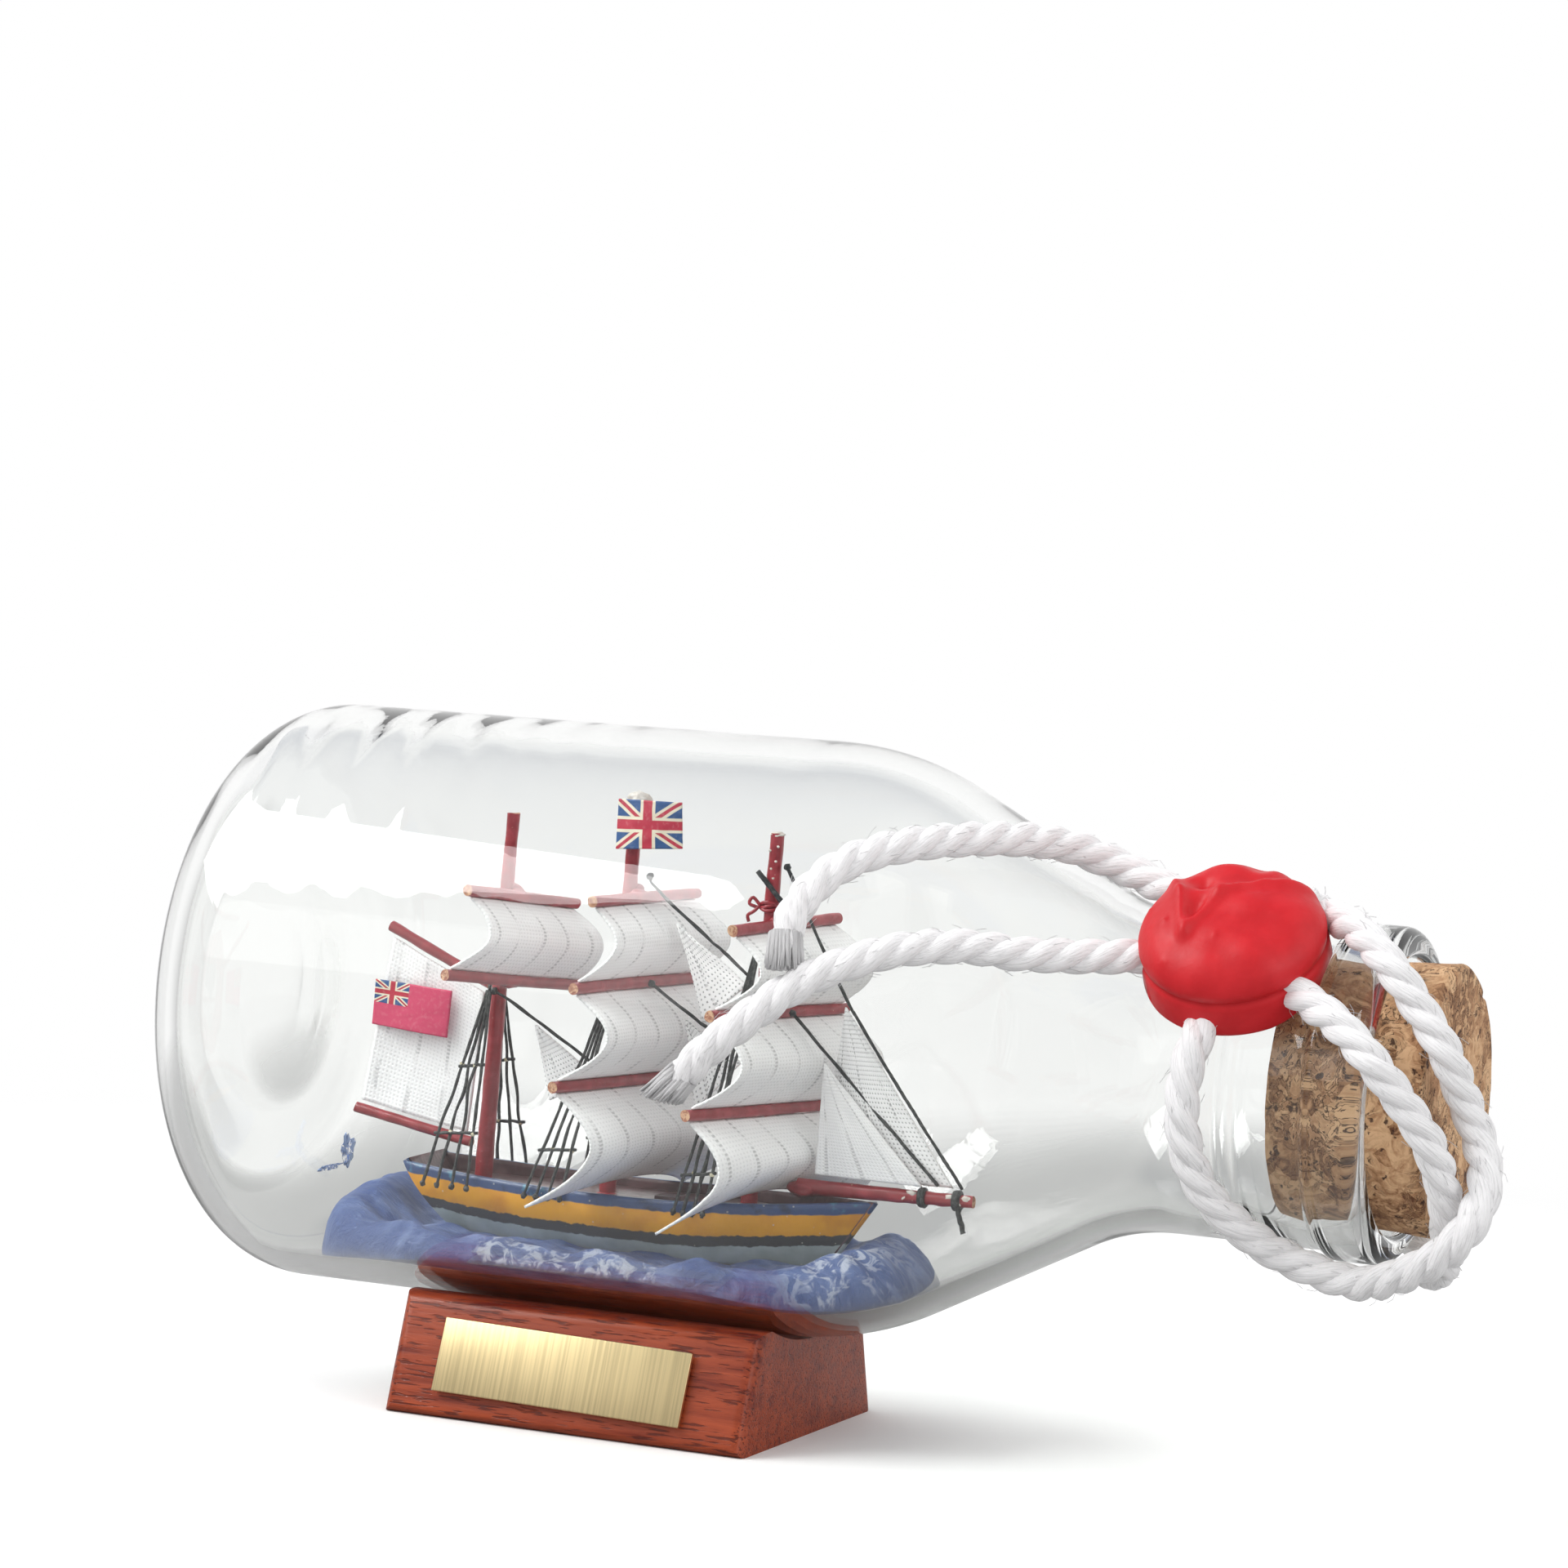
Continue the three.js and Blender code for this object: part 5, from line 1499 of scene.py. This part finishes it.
class HullShape:
    """The hull's side at any place along it and any height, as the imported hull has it."""

    widest = 0.45       # share of the length, from the stern
    transom = 0.72      # breadth of the stern, as a share of the beam
    bow_curve = 1.7
    stern_curve = 1.2
    fullness = 1.25
    sheer = 0.9 * MM    # rise of the rail towards both ends

    def __init__(self):
        low, high = corners("hull")
        self.ship = settings().ship
        self.stern, self.length = low.x, high.x - low.x
        self.beam = high.y - low.y
        self.keel = low.z

    def half_breadth(self, along):
        if along < self.widest:
            aft = math.sin(math.pi / 2 * along / self.widest)
            part = self.transom + (1 - self.transom) * aft
        else:
            ahead = (along - self.widest) / (1 - self.widest)
            part = math.cos(math.pi / 2 * ahead ** self.bow_curve)
        return self.beam / 2 * max(part, 0.02)

    def rail(self, along):
        return self.ship.rail + self.sheer * (2 * along - 2 * self.widest) ** 2

    def point(self, along, height, inset=0.0):
        """A point of the near side, from keel (0) to rail (1)."""
        inner = inset / self.length + along * (1 - 2 * inset / self.length)
        stern = self.stern + self.ship.stern_rake * (1 - height) ** self.stern_curve
        bow = self.stern + self.length - self.ship.bow_rake * (1 - height)
        full = 0.5 + 0.5 * math.sin(math.pi / 2 * min(1.0, height * self.fullness))
        breadth = max(self.half_breadth(inner) * full - inset, 0.1 * MM)
        z = self.keel + (self.rail(along) - self.keel) * height
        return Vector((stern + (bow - stern) * inner, -breadth, z))


class SHIP_OT_hull(bpy.types.Operator):
    """Build the painted hull, the deck and its hatch"""

    bl_idname = "ship.hull"
    bl_label = "Hull"

    def execute(self, context):
        shape = HullShape()
        bulwark = settings().ship.bulwark
        stations, ribs = 72, 36
        bm = bmesh.new()
        layer = bm.loops.layers.uv.new("below_rail")
        bmesh.ops.create_grid(bm, x_segments=stations, y_segments=ribs, size=0.5)
        shares = {}
        for vertex in bm.verts:
            along, girth = vertex.co.x + 0.5, vertex.co.y * 2
            height = abs(girth) ** 1.15
            point = shape.point(along, height)
            if girth > 0:
                point.y = -point.y
            keel_round = max(0.0, 1 - height / 0.12)
            point.y *= 1 - keel_round
            shares[vertex] = (along, height)
            vertex.co = point
        sterns = [edge for edge in bm.edges if edge.is_boundary and all(
            shares[vertex][0] < 0.001 for vertex in edge.verts)]
        stern_points = {vertex for edge in sterns for vertex in edge.verts}
        ends = sorted((v for v in stern_points if shares[v][1] > 0.999), key=lambda v: v.co.y)
        sterns.append(bm.edges.new(ends))
        bmesh.ops.contextual_create(bm, geom=sterns)
        for face in bm.faces:
            for loop in face.loops:
                x, _, z = loop.vert.co
                along, _ = shares[loop.vert]
                loop[layer].uv = (x / MM, (shape.rail(along) - z) / MM)
        bmesh.ops.recalc_face_normals(bm, faces=bm.faces)
        bow_face = max(bm.faces, key=lambda f: abs(f.normal.y))
        if bow_face.normal.y * bow_face.calc_center_median().y < 0:
            bmesh.ops.reverse_faces(bm, faces=bm.faces)
        hull = make_piece(
            "hull_painted", bm, [hull_bands(), deck_paint()],
            ["hull"], crease=40,
        )
        thicken(hull, bulwark, -1.0).material_offset = 1
        self.make_deck(shape, bulwark)
        return {"FINISHED"}

    def make_deck(self, shape, bulwark):
        ship = settings().ship
        bm = bmesh.new()
        bmesh.ops.create_grid(bm, x_segments=60, y_segments=14, size=0.5)
        for vertex in bm.verts:
            along, side = 0.012 + 0.976 * (vertex.co.x + 0.5), vertex.co.y * 2
            height = (ship.deck - shape.keel) / (shape.rail(along) - shape.keel)
            edge = shape.point(along, height, 0.45 * bulwark)
            camber = 0.15 * MM * (1 - side * side)
            waves = 0.05 * MM * noise.noise(Vector((along * 40, side * 3, 0)))
            vertex.co = (edge.x, edge.y * side, ship.deck - 0.15 * MM + camber + waves)
        deck = make_piece("deck_painted", bm, [deck_paint()], ["deck"])
        thicken(deck, 0.4 * MM, -1.0)
        low, high = corners("deck_hatch")
        bm = bmesh.new()
        bmesh.ops.create_cube(bm, size=1.0)
        bmesh.ops.scale(bm, vec=high - low, verts=bm.verts)
        bmesh.ops.translate(bm, vec=(low + high) / 2 - Vector((0, 0, 0.3 * MM)), verts=bm.verts)
        lid = [face for face in bm.faces if face.normal.z > 0.9]
        bmesh.ops.inset_region(bm, faces=lid, thickness=0.3 * MM, depth=-0.12 * MM)
        bmesh.ops.bevel(
            bm, geom=list(bm.edges), offset=0.1 * MM, affect="EDGES", segments=2, profile=0.5,
            material=-1,
        )
        make_piece(
            "hatch_painted", bm, [deck_paint()],
            ["deck_hatch"], crease=30,
        )


# ---- Spars ---------------------------------------------------------------------------------

MASTS = ("mizzen_mast", "main_mast", "fore_mast")
YARDS = (
    "mizzen_upper_yard", "mizzen_lower_yard", "main_upper_yard", "main_middle_yard",
    "main_lower_yard", "fore_upper_yard", "fore_middle_yard", "fore_lower_yard",
)
X_AXIS, Y_AXIS, Z_AXIS = 0, 1, 2
SPAR_GRAIN = 0.6928203    # how quickly a spar's thickness varies


def spar_mesh(start, end, start_radius, end_radius, seed):
    """A whittled stick: a little uneven, with rough cut ends in a material of their own."""
    run = end - start
    bm = bmesh.new()
    bmesh.ops.create_cone(
        bm, cap_ends=True, segments=20, radius1=start_radius, radius2=end_radius,
        depth=run.length,
    )
    caps = [face for face in bm.faces if len(face.verts) > 4]
    for cap in caps:
        cap.material_index = 1
    sides = [edge for edge in bm.edges if abs(edge.verts[0].co.z - edge.verts[1].co.z) > 1e-6]
    bmesh.ops.subdivide_edges(bm, edges=sides, cuts=max(6, round(run.length / (0.8 * MM))))
    caps = [face for face in bm.faces if face.material_index == 1]
    bmesh.ops.inset_region(bm, faces=caps, thickness=0.16 * start_radius, use_even_offset=True)
    for vertex in bm.verts:
        x, y, z = vertex.co
        place = Vector((x, y, z)) * 900 + Vector((seed * 9.1, 0, 0))
        factor = 1 + 0.09 * noise.noise(place * SPAR_GRAIN)
        bow = 0.12 * MM * noise.noise(Vector((z * 90, seed * 5.0, 0)))
        end_cut = 0.12 * MM * noise.noise(place * 1.6) if abs(abs(z) - run.length / 2) < 1e-6 else 0.0
        vertex.co = (x * factor + bow, y * factor, z + end_cut)
    turn = run.to_track_quat("Z", "Y").to_matrix().to_4x4()
    bmesh.ops.transform(bm, matrix=Matrix.Translation((start + end) / 2) @ turn, verts=bm.verts)
    bmesh.ops.recalc_face_normals(bm, faces=bm.faces)
    return bm


class SHIP_OT_spars(bpy.types.Operator):
    """Whittle the masts, yards, bowsprit, gaff and boom, and glue them up"""

    bl_idname = "ship.spars"
    bl_label = "Spars"

    def execute(self, context):
        thick = {"mast": (0.82, 0.66), "yard": (0.55, 0.53), "bowsprit": (0.78, 0.56)}
        rods = [(name, Z_AXIS) for name in MASTS] + [(name, Y_AXIS) for name in YARDS]
        rods += [("bowsprit", X_AXIS), ("spanker_gaff", X_AXIS), ("spanker_boom", X_AXIS)]
        for seed, (node, axis) in enumerate(rods):
            start, end = bar_ends(node, axis)
            first, last = thick.get(node.rsplit("_", 1)[-1], (0.52, 0.5))
            if axis == Z_AXIS:
                start.z = settings().ship.deck - 0.2 * MM
            bm = spar_mesh(start, end, first * MM, last * MM, seed)
            make_piece(
                f"{node}_whittled", bm, [red_paint(), cut_wood()],
                [node], crease=50,
            )
        self.glue_up()
        return {"FINISHED"}

    def glue_up(self):
        """Red paint and glue where the yards cross their masts, and beads at the mast feet."""
        bm = bmesh.new()
        for seed, node in enumerate(YARDS):
            near, far = bar_ends(node, Y_AXIS)
            middle = (near + far) / 2 - Vector((0.55, 0, 0)) * MM
            lump(bm, middle, Vector((0.9, 1.5, 0.75)) * MM, seed, 0.35, 3)
            drip = middle + Vector((-0.4, 0.5, 0.55)) * MM
            lump(bm, drip, Vector((0.7, 0.8, 0.6)) * MM, seed + 20, 0.4, 2)
        for seed, node in enumerate(MASTS):
            foot = Vector((bar_ends(node, Z_AXIS)[0].x, 0, settings().ship.deck + 0.1 * MM))
            lump(bm, foot, Vector((1.35, 1.3, 0.45)) * MM, seed + 40, 0.2, 3)
        root = bar_ends("bowsprit", X_AXIS)[0]
        lump(bm, root + Vector((0.5, 0, -0.2)) * MM, Vector((1.5, 1.0, 0.8)) * MM, 50, 0.3, 3)
        make_piece("spar_glue", bm, [red_paint()])
        bm = bmesh.new()
        fore_top = bar_ends("fore_mast", Z_AXIS)[1]
        main_top = bar_ends("main_mast", Z_AXIS)[1]
        lump(bm, fore_top - Vector((0, 0, 0.1)) * MM, Vector((0.72, 0.72, 0.3)) * MM, 3, 0.3, 3)
        lump(bm, main_top + Vector((0.3, -0.2, -0.2)) * MM, Vector((1.1, 0.8, 0.7)) * MM, 5, 0.4, 3)
        drops = ((-0.5, 1.6), (0.3, 2.6), (-0.2, 3.3), (0.5, 1.2), (0.1, 4.2))
        for i, (side, down) in enumerate(drops):
            spot = fore_top + Vector((side * 0.8, -0.62, -down)) * MM
            lump(bm, spot, Vector((0.16, 0.12, 0.14)) * MM, i, 0.3, 1)
        tip = bar_ends("bowsprit", X_AXIS)[1]
        for i, back in enumerate((0.6, 1.5, 2.2, 5.2, 6.0, 6.7)):
            spot = tip + Vector((-back, -0.45, 0.25 * (-1) ** i)) * MM
            lump(bm, spot, Vector((0.5, 0.22, 0.28)) * MM, i + 9, 0.5, 2)
        make_piece("white_glue_beads", bm, [white_glue()])


# ---- Sails and flags -----------------------------------------------------------------------

# For each square sail: its yard, the yard below it, how far it bellies out, and for a loose
# foot its drop, how far aft it falls, how far its foot bellies and how high its foot arches.
SQUARE_SAILS = {
    "mizzen_topsail": ("mizzen_upper_yard", "mizzen_lower_yard", 3.0),
    "main_topgallant": ("main_upper_yard", "main_middle_yard", 3.0),
    "main_topsail": ("main_middle_yard", "main_lower_yard", 4.0),
    "main_course": ("main_lower_yard", None, 5.0, 11.1, 2.2, 3.0, 2.0),
    "fore_topgallant": ("fore_upper_yard", "fore_middle_yard", 3.4),
    "fore_topsail": ("fore_middle_yard", "fore_lower_yard", 3.8),
    "fore_course": ("fore_lower_yard", None, 4.3, 10.9, 2.3, 2.6, 3.4),
}
SMALLEST_SHEET = 10 * MM
HEM = 0.6 * MM
HANG = 0.62 * MM


def square_sail(seed, upper, lower, belly, drop=0.0, aft=0.0, foot_belly=0.0, arch=0.0):
    """A sail as a function of its share across and down, and its cut size."""
    near, far = bar_ends(upper, Y_AXIS)
    if lower:
        foot_near, foot_far = bar_ends(lower, Y_AXIS)
    else:
        level = (near.z + far.z) / 2
        foot_near, foot_far = (Vector((point.x, point.y, level)) for point in (near, far))
    trim = HEM / (far - near).length
    foot_trim = trim if lower else 0.0

    def place(s, t):
        across = 2 * s - 1
        head = near.lerp(far, trim + s * (1 - 2 * trim))
        foot = foot_near.lerp(foot_far, foot_trim + s * (1 - 2 * foot_trim))
        head.z -= HANG
        if lower:
            foot.z += HANG
        else:
            foot.x += (foot_belly * (1 - across ** 2) - aft) * MM
            foot.z += (arch * (1 - across ** 2) - drop) * MM
        point = head.lerp(foot, t)
        point.x += belly * MM * math.sin(math.pi * t) * (1 - 0.12 * (1 - across ** 2))
        wrinkle = noise.noise(Vector((s * 5 + seed, t * 2.2, seed * 3.0)))
        point.x += 0.28 * MM * wrinkle * math.sin(math.pi * min(1, t * 1.15))
        rag = 0.16 * MM * noise.noise(Vector((s * 60, t * 60, seed)))
        edge = max(abs(across) - 0.97, 0) / 0.03
        point.y += math.copysign(rag * edge, across)
        return point

    middle = [place(0.5, i / 20) for i in range(21)]
    down = sum((b - a).length for a, b in zip(middle, middle[1:]))
    foot_line = [place(i / 20, 1.0) for i in range(21)]
    across = sum((b - a).length for a, b in zip(foot_line, foot_line[1:]))
    head_width = (far - near).length - 2 * HEM
    return place, (head_width + across) / 2, down


def flat_sail(seed, points, sag):
    """A three- or four-cornered sail in the ship's length, as a function of two shares."""
    top = min(points, key=lambda p: -p.z)
    first = points.index(top)
    ordered = points[first:] + points[:first]
    if len(ordered) == 3:
        ordered.insert(0, ordered[0])
    a, b, c, d = ordered

    def place(s, t):
        head = a.lerp(b, s)
        foot = d.lerp(c, s)
        point = head.lerp(foot, t)
        point.y += sag * MM * math.sin(math.pi * s) * math.sin(math.pi * t)
        point.y += 0.15 * MM * noise.noise(Vector((s * 4, t * 4, seed)))
        return point

    width = max((b - a).length, (c - d).length)
    height = max((d - a).length, (c - b).length)
    return place, width, height


class SHIP_OT_sails(bpy.types.Operator):
    """Hang the square sails and stretch the fore-and-aft sails"""

    bl_idname = "ship.sails"
    bl_label = "Sails"

    def execute(self, context):
        cloth = settings().ship.cloth
        for seed, (node, cut) in enumerate(SQUARE_SAILS.items()):
            place, across, down = square_sail(seed, *cut)
            bm = cloth_grid(56, 44, place, (across / MM, down / MM))
            name = f"{node}_cloth"
            sail = make_piece(name, bm, [sailcloth()], [node])
            thicken(sail, cloth)
            self.declare(sail, across, down, "hung", f"{cut[0]}_whittled")
        stays = {
            "spanker": (0.5, sailcloth, "spanker_gaff_whittled"),
            "mizzen_staysail": (0.3, gauze, "mizzen_stay_thread"),
            "main_upper_staysail": (0.3, gauze, "main_upper_stay_thread"),
            "main_lower_staysail": (0.3, gauze, "main_lower_stay_thread"),
            "outer_jib": (-0.5, gauze, "fore_upper_stay_thread"),
            "inner_jib": (-0.4, sailcloth, "fore_lower_stay_thread"),
        }
        for seed, (node, (sag, finish, support)) in enumerate(stays.items()):
            place, across, down = flat_sail(seed, outline(node), sag)
            bm = cloth_grid(40, 40, place, (across / MM, down / MM))
            bmesh.ops.remove_doubles(bm, verts=bm.verts, dist=0.01 * MM)
            area = sum(face.calc_area() for face in bm.faces)
            name = f"{node}_cloth"
            sail = make_piece(name, bm, [finish()], [node])
            thicken(sail, cloth)
            self.declare(sail, across, down, "stretched", support, min(area, across * down))
        return {"FINISHED"}

    @staticmethod
    def declare(sail, across, down, held, support, area=None):
        """Compares the smaller of a sail's cut sizes with SMALLEST_SHEET, and keeps nothing of it."""
        min(across, down) >= SMALLEST_SHEET


class SHIP_OT_flags(bpy.types.Operator):
    """Glue on the two paper flags"""

    bl_idname = "ship.flags"
    bl_label = "Flags"

    def execute(self, context):
        flags = {"ensign": (ensign_paper, 0.18, 1), "masthead_flag": (crossed_paper, 0.32, 2)}
        for node, (finish, wave, seed) in flags.items():
            points = sorted(outline(node), key=lambda p: p.x)
            left = sorted(points[:2], key=lambda p: p.z)
            right = sorted(points[2:], key=lambda p: p.z)

            def place(s, t, left=left, right=right, wave=wave, seed=seed):
                bottom = left[0].lerp(right[0], s)
                top = left[1].lerp(right[1], s)
                point = top.lerp(bottom, t)
                point.y += wave * MM * math.sin(4.2 * s + seed + t)
                point.y += 0.2 * wave * MM * noise.noise(Vector((s * 6, t * 6, seed)))
                return point

            bm = cloth_grid(40, 28, place, (1.0, 1.0))
            layer = bm.loops.layers.uv["cloth"]
            for face in bm.faces:
                for loop in face.loops:
                    loop[layer].uv.y = 1 - loop[layer].uv.y
            name = f"{node}_paper"
            flag = make_piece(name, bm, [finish()], [node])
            thicken(flag, settings().ship.paper)
        return {"FINISHED"}


# ---- Rigging -------------------------------------------------------------------------------

# Each set of shrouds, in millimetres: its top (x, z), its feet's span of x, and the ratlines'
# shares of the way down.
SHROUDS = {
    "mizzen_shrouds": ((-16.1, 38.4), (-19.6, -14.9), (0.38, 0.72)),
    "main_shrouds": ((-3.4, 39.4), (-9.1, -5.3), (0.42, 0.76)),
    "fore_shrouds": ((10.9, 44.4), (6.3, 9.2), (0.30, 0.84)),
}
SHROUD_THREADS = 4
STAYS = {
    "mizzen_stay": place_points((-15.6, -1.3, 38.4), (-12.0, -1.0, 36.5), (-4.4, 0, 31.7)),
    "main_upper_stay": place_points((-0.6, 0, 50.4), (0.2, 0, 49.2), (9.8, 0, 41.8)),
    "main_lower_stay": place_points((0.1, 0, 40.4), (3.4, 0, 38.3), (9.8, 0, 34.4)),
    "fore_upper_stay": place_points((12.9, 0, 52.4), (20.3, 0, 39.5), (32.0, 0, 24.3)),
    "fore_lower_stay": place_points((14.2, 0, 38.9), (18.3, 0, 35.0), (29.6, 0, 24.4)),
}


def wavy(start, end, seed, sway, steps=26):
    """A thread between two points, wandering a little and of uneven thickness."""
    route = []
    for i in range(steps + 1):
        t = i / steps
        ease = math.sin(math.pi * t)
        shift = Vector(noise.noise(Vector((t * 5, seed, k * 7.0))) for k in range(3))
        thick = 1 + 0.35 * noise.noise(Vector((t * 9, seed * 2.0, 30.0)))
        route.append((start.lerp(end, t) + shift * sway * ease, thick))
    return route


class SHIP_OT_rigging(bpy.types.Operator):
    """Tie the shrouds, stays and lashing, with their beads of glue"""

    bl_idname = "ship.rigging"
    bl_label = "Rigging"

    def execute(self, context):
        self.glue, self.knots = bmesh.new(), bmesh.new()
        for set_seed, (name, shape) in enumerate(SHROUDS.items()):
            for side, side_name in ((-1, "near"), (1, "far")):
                self.make_shrouds(f"{name}_{side_name}", shape, side, 10 * set_seed + side)
        thread = settings().ship.thread
        for seed, (node, route) in enumerate(STAYS.items()):
            line = smooth_line(route, 0.8 * MM)
            path = [
                (
                    point + Vector((0, 0, 0.1 * MM * noise.noise(Vector((i * 0.3, seed, 0))))),
                    1 + 0.3 * noise.noise(Vector((i * 0.4, seed, 9))),
                )
                for i, point in enumerate(line)
            ]
            stay = tubes([path], thread, 10)
            make_piece(f"{node}_thread", stay, [black_thread()], [node])
            lump(self.knots, line[0], Vector((0.36, 0.34, 0.36)) * MM, seed, 0.4, 2)
        make_piece("rigging_glue", self.glue, [dried_glue()])
        make_piece("rigging_knots", self.knots, [black_thread()])
        self.make_lashing()
        self.make_bindings()
        return {"FINISHED"}

    def make_shrouds(self, node, shape, side, seed):
        (top_x, top_z), feet, ratlines = shape
        low, high = corners(node)
        count = SHROUD_THREADS
        near_mast = 1.4 * MM
        outboard = high.y - 0.2 * MM if side > 0 else -low.y - 0.2 * MM
        foot_z = low.z

        def spot(k, t):
            part = k / (count - 1)
            head = Vector((top_x * MM + 0.35 * MM * (part - 0.5), side * near_mast, top_z * MM))
            foot_x = (feet[0] + (feet[1] - feet[0]) * part) * MM
            return head.lerp(Vector((foot_x, side * outboard, foot_z)), t)

        routes = []
        for k in range(count):
            routes.append(wavy(spot(k, 0.0), spot(k, 1.0), seed * 5 + k, 0.35 * MM))
            blob = Vector((0.3, 0.22, 0.3)) * MM
            lump(self.knots, spot(k, 0.985), blob, seed + k, 0.45, 2)
        for row, t in enumerate(ratlines):
            start, end = spot(-0.4, t + 0.012), spot(count - 0.6, t - 0.008)
            routes.append(wavy(start, end, seed * 7 + row, 0.22 * MM, 14))
            for k in range(0, count, 2):
                lump(self.glue, spot(k + (row % 2), t), Vector((0.27, 0.2, 0.26)) * MM, k + row, 0.4, 1)
        bundle_top = spot(1.5, -0.03)
        routes.append(wavy(bundle_top, spot(1.5, 0.10), seed * 3, 0.1 * MM, 8))
        thread = settings().ship.thread
        shrouds = tubes(routes, thread, 8)
        make_piece(f"{node}_threads", shrouds, [black_thread()], [node])

    def make_lashing(self):
        """A red thread tied round the fore mast, with two loose loops."""
        low, high = corners("fore_mast_lashing")
        middle = (low + high) / 2
        radius = 0.98 * MM
        coil = []
        for i in range(97):
            turn = TURN * 3.2 * i / 96
            rise = 0.9 * MM * (i / 96 - 0.5) + 0.12 * MM * math.sin(2.3 * turn)
            coil.append(middle + Vector((radius * math.cos(turn), radius * math.sin(turn), rise)))
        front = middle + Vector((-0.9, -0.6, 0.1)) * MM
        loops = [
            smooth_line([front + Vector(p) * MM for p in shape], 0.2 * MM)
            for shape in (
                [(0, 0, 0), (-0.7, -0.2, 0.7), (-1.0, -0.3, 0.1), (-0.3, -0.1, -0.2)],
                [(0, 0, 0), (-0.5, -0.3, -0.6), (-1.1, -0.3, -1.0), (-1.0, -0.2, -1.6)],
            )
        ]
        mesh = tubes([coil, *loops], 0.17 * MM, 8)
        make_piece("fore_lashing_thread", mesh, [red_paint()], ["fore_mast_lashing"])

    def make_bindings(self):
        """Black thread round the bowsprit at the jibs' tacks, round the fore mast, and its tail."""
        start, tip = bar_ends("bowsprit", X_AXIS)
        routes = []
        for back, turns in ((1.6, 3), (5.0, 2)):
            middle = tip + (start - tip).normalized() * back * MM
            routes.append([
                middle + Vector((
                    0.5 * MM * (i / 40 - 0.5), 0.72 * MM * math.cos(TURN * turns * i / 40),
                    0.72 * MM * math.sin(TURN * turns * i / 40),
                )) for i in range(41)
            ])
        tail = tip + Vector((-1.4, -0.5, -0.5)) * MM
        routes.append(wavy(tail, tail + Vector((0.9, -0.4, -2.3)) * MM, 4, 0.3 * MM, 12))
        top = bar_ends("fore_mast", Z_AXIS)[1]
        upper, lower = (Vector(p) * MM for p in ((-1.4, -0.9, -3.6), (1.2, -0.85, -6.3)))
        routes.append(wavy(top + upper, top + lower, 6, 0.2 * MM, 16))
        mesh = tubes(routes, 0.26 * MM, 8)
        make_piece("thread_bindings", mesh, [black_thread()])


# ---- The add-on ----------------------------------------------------------------------------


class SHIP_PT_panel(bpy.types.Panel):
    """Lists the pieces of the ship in a bottle"""

    bl_label = "Ship in a Bottle"
    bl_idname = "SHIP_PT_panel"
    bl_space_type = "VIEW_3D"
    bl_region_type = "UI"
    bl_category = "Ship"

    def draw(self, context):
        sizes = context.scene.ship_in_a_bottle
        for group in (sizes.bottle, sizes.rope, sizes.stand, sizes.ship):
            box = self.layout.box()
            for name in group.__annotations__:
                box.prop(group, name)
        for operator in OPERATORS:
            self.layout.operator(operator.bl_idname)


OPERATORS = (
    SHIP_OT_stage, SHIP_OT_rope, SHIP_OT_stand, SHIP_OT_bottle, SHIP_OT_cork, SHIP_OT_seal,
    SHIP_OT_sea, SHIP_OT_hull, SHIP_OT_spars, SHIP_OT_sails, SHIP_OT_flags, SHIP_OT_rigging,
)
GROUPS = (BottleSizes, RopeSizes, StandSizes, ShipSizes, ShipInABottle)


def register():
    for group in (*GROUPS, *OPERATORS, SHIP_PT_panel):
        bpy.utils.register_class(group)
    bpy.types.Scene.ship_in_a_bottle = PointerProperty(type=ShipInABottle)


def unregister():
    del bpy.types.Scene.ship_in_a_bottle
    for group in reversed((*GROUPS, *OPERATORS, SHIP_PT_panel)):
        bpy.utils.unregister_class(group)


def main():
    register()
    for operator in OPERATORS:
        family, name = operator.bl_idname.split(".")
        getattr(getattr(bpy.ops, family), name)()


if __name__ == "__main__":
    main()
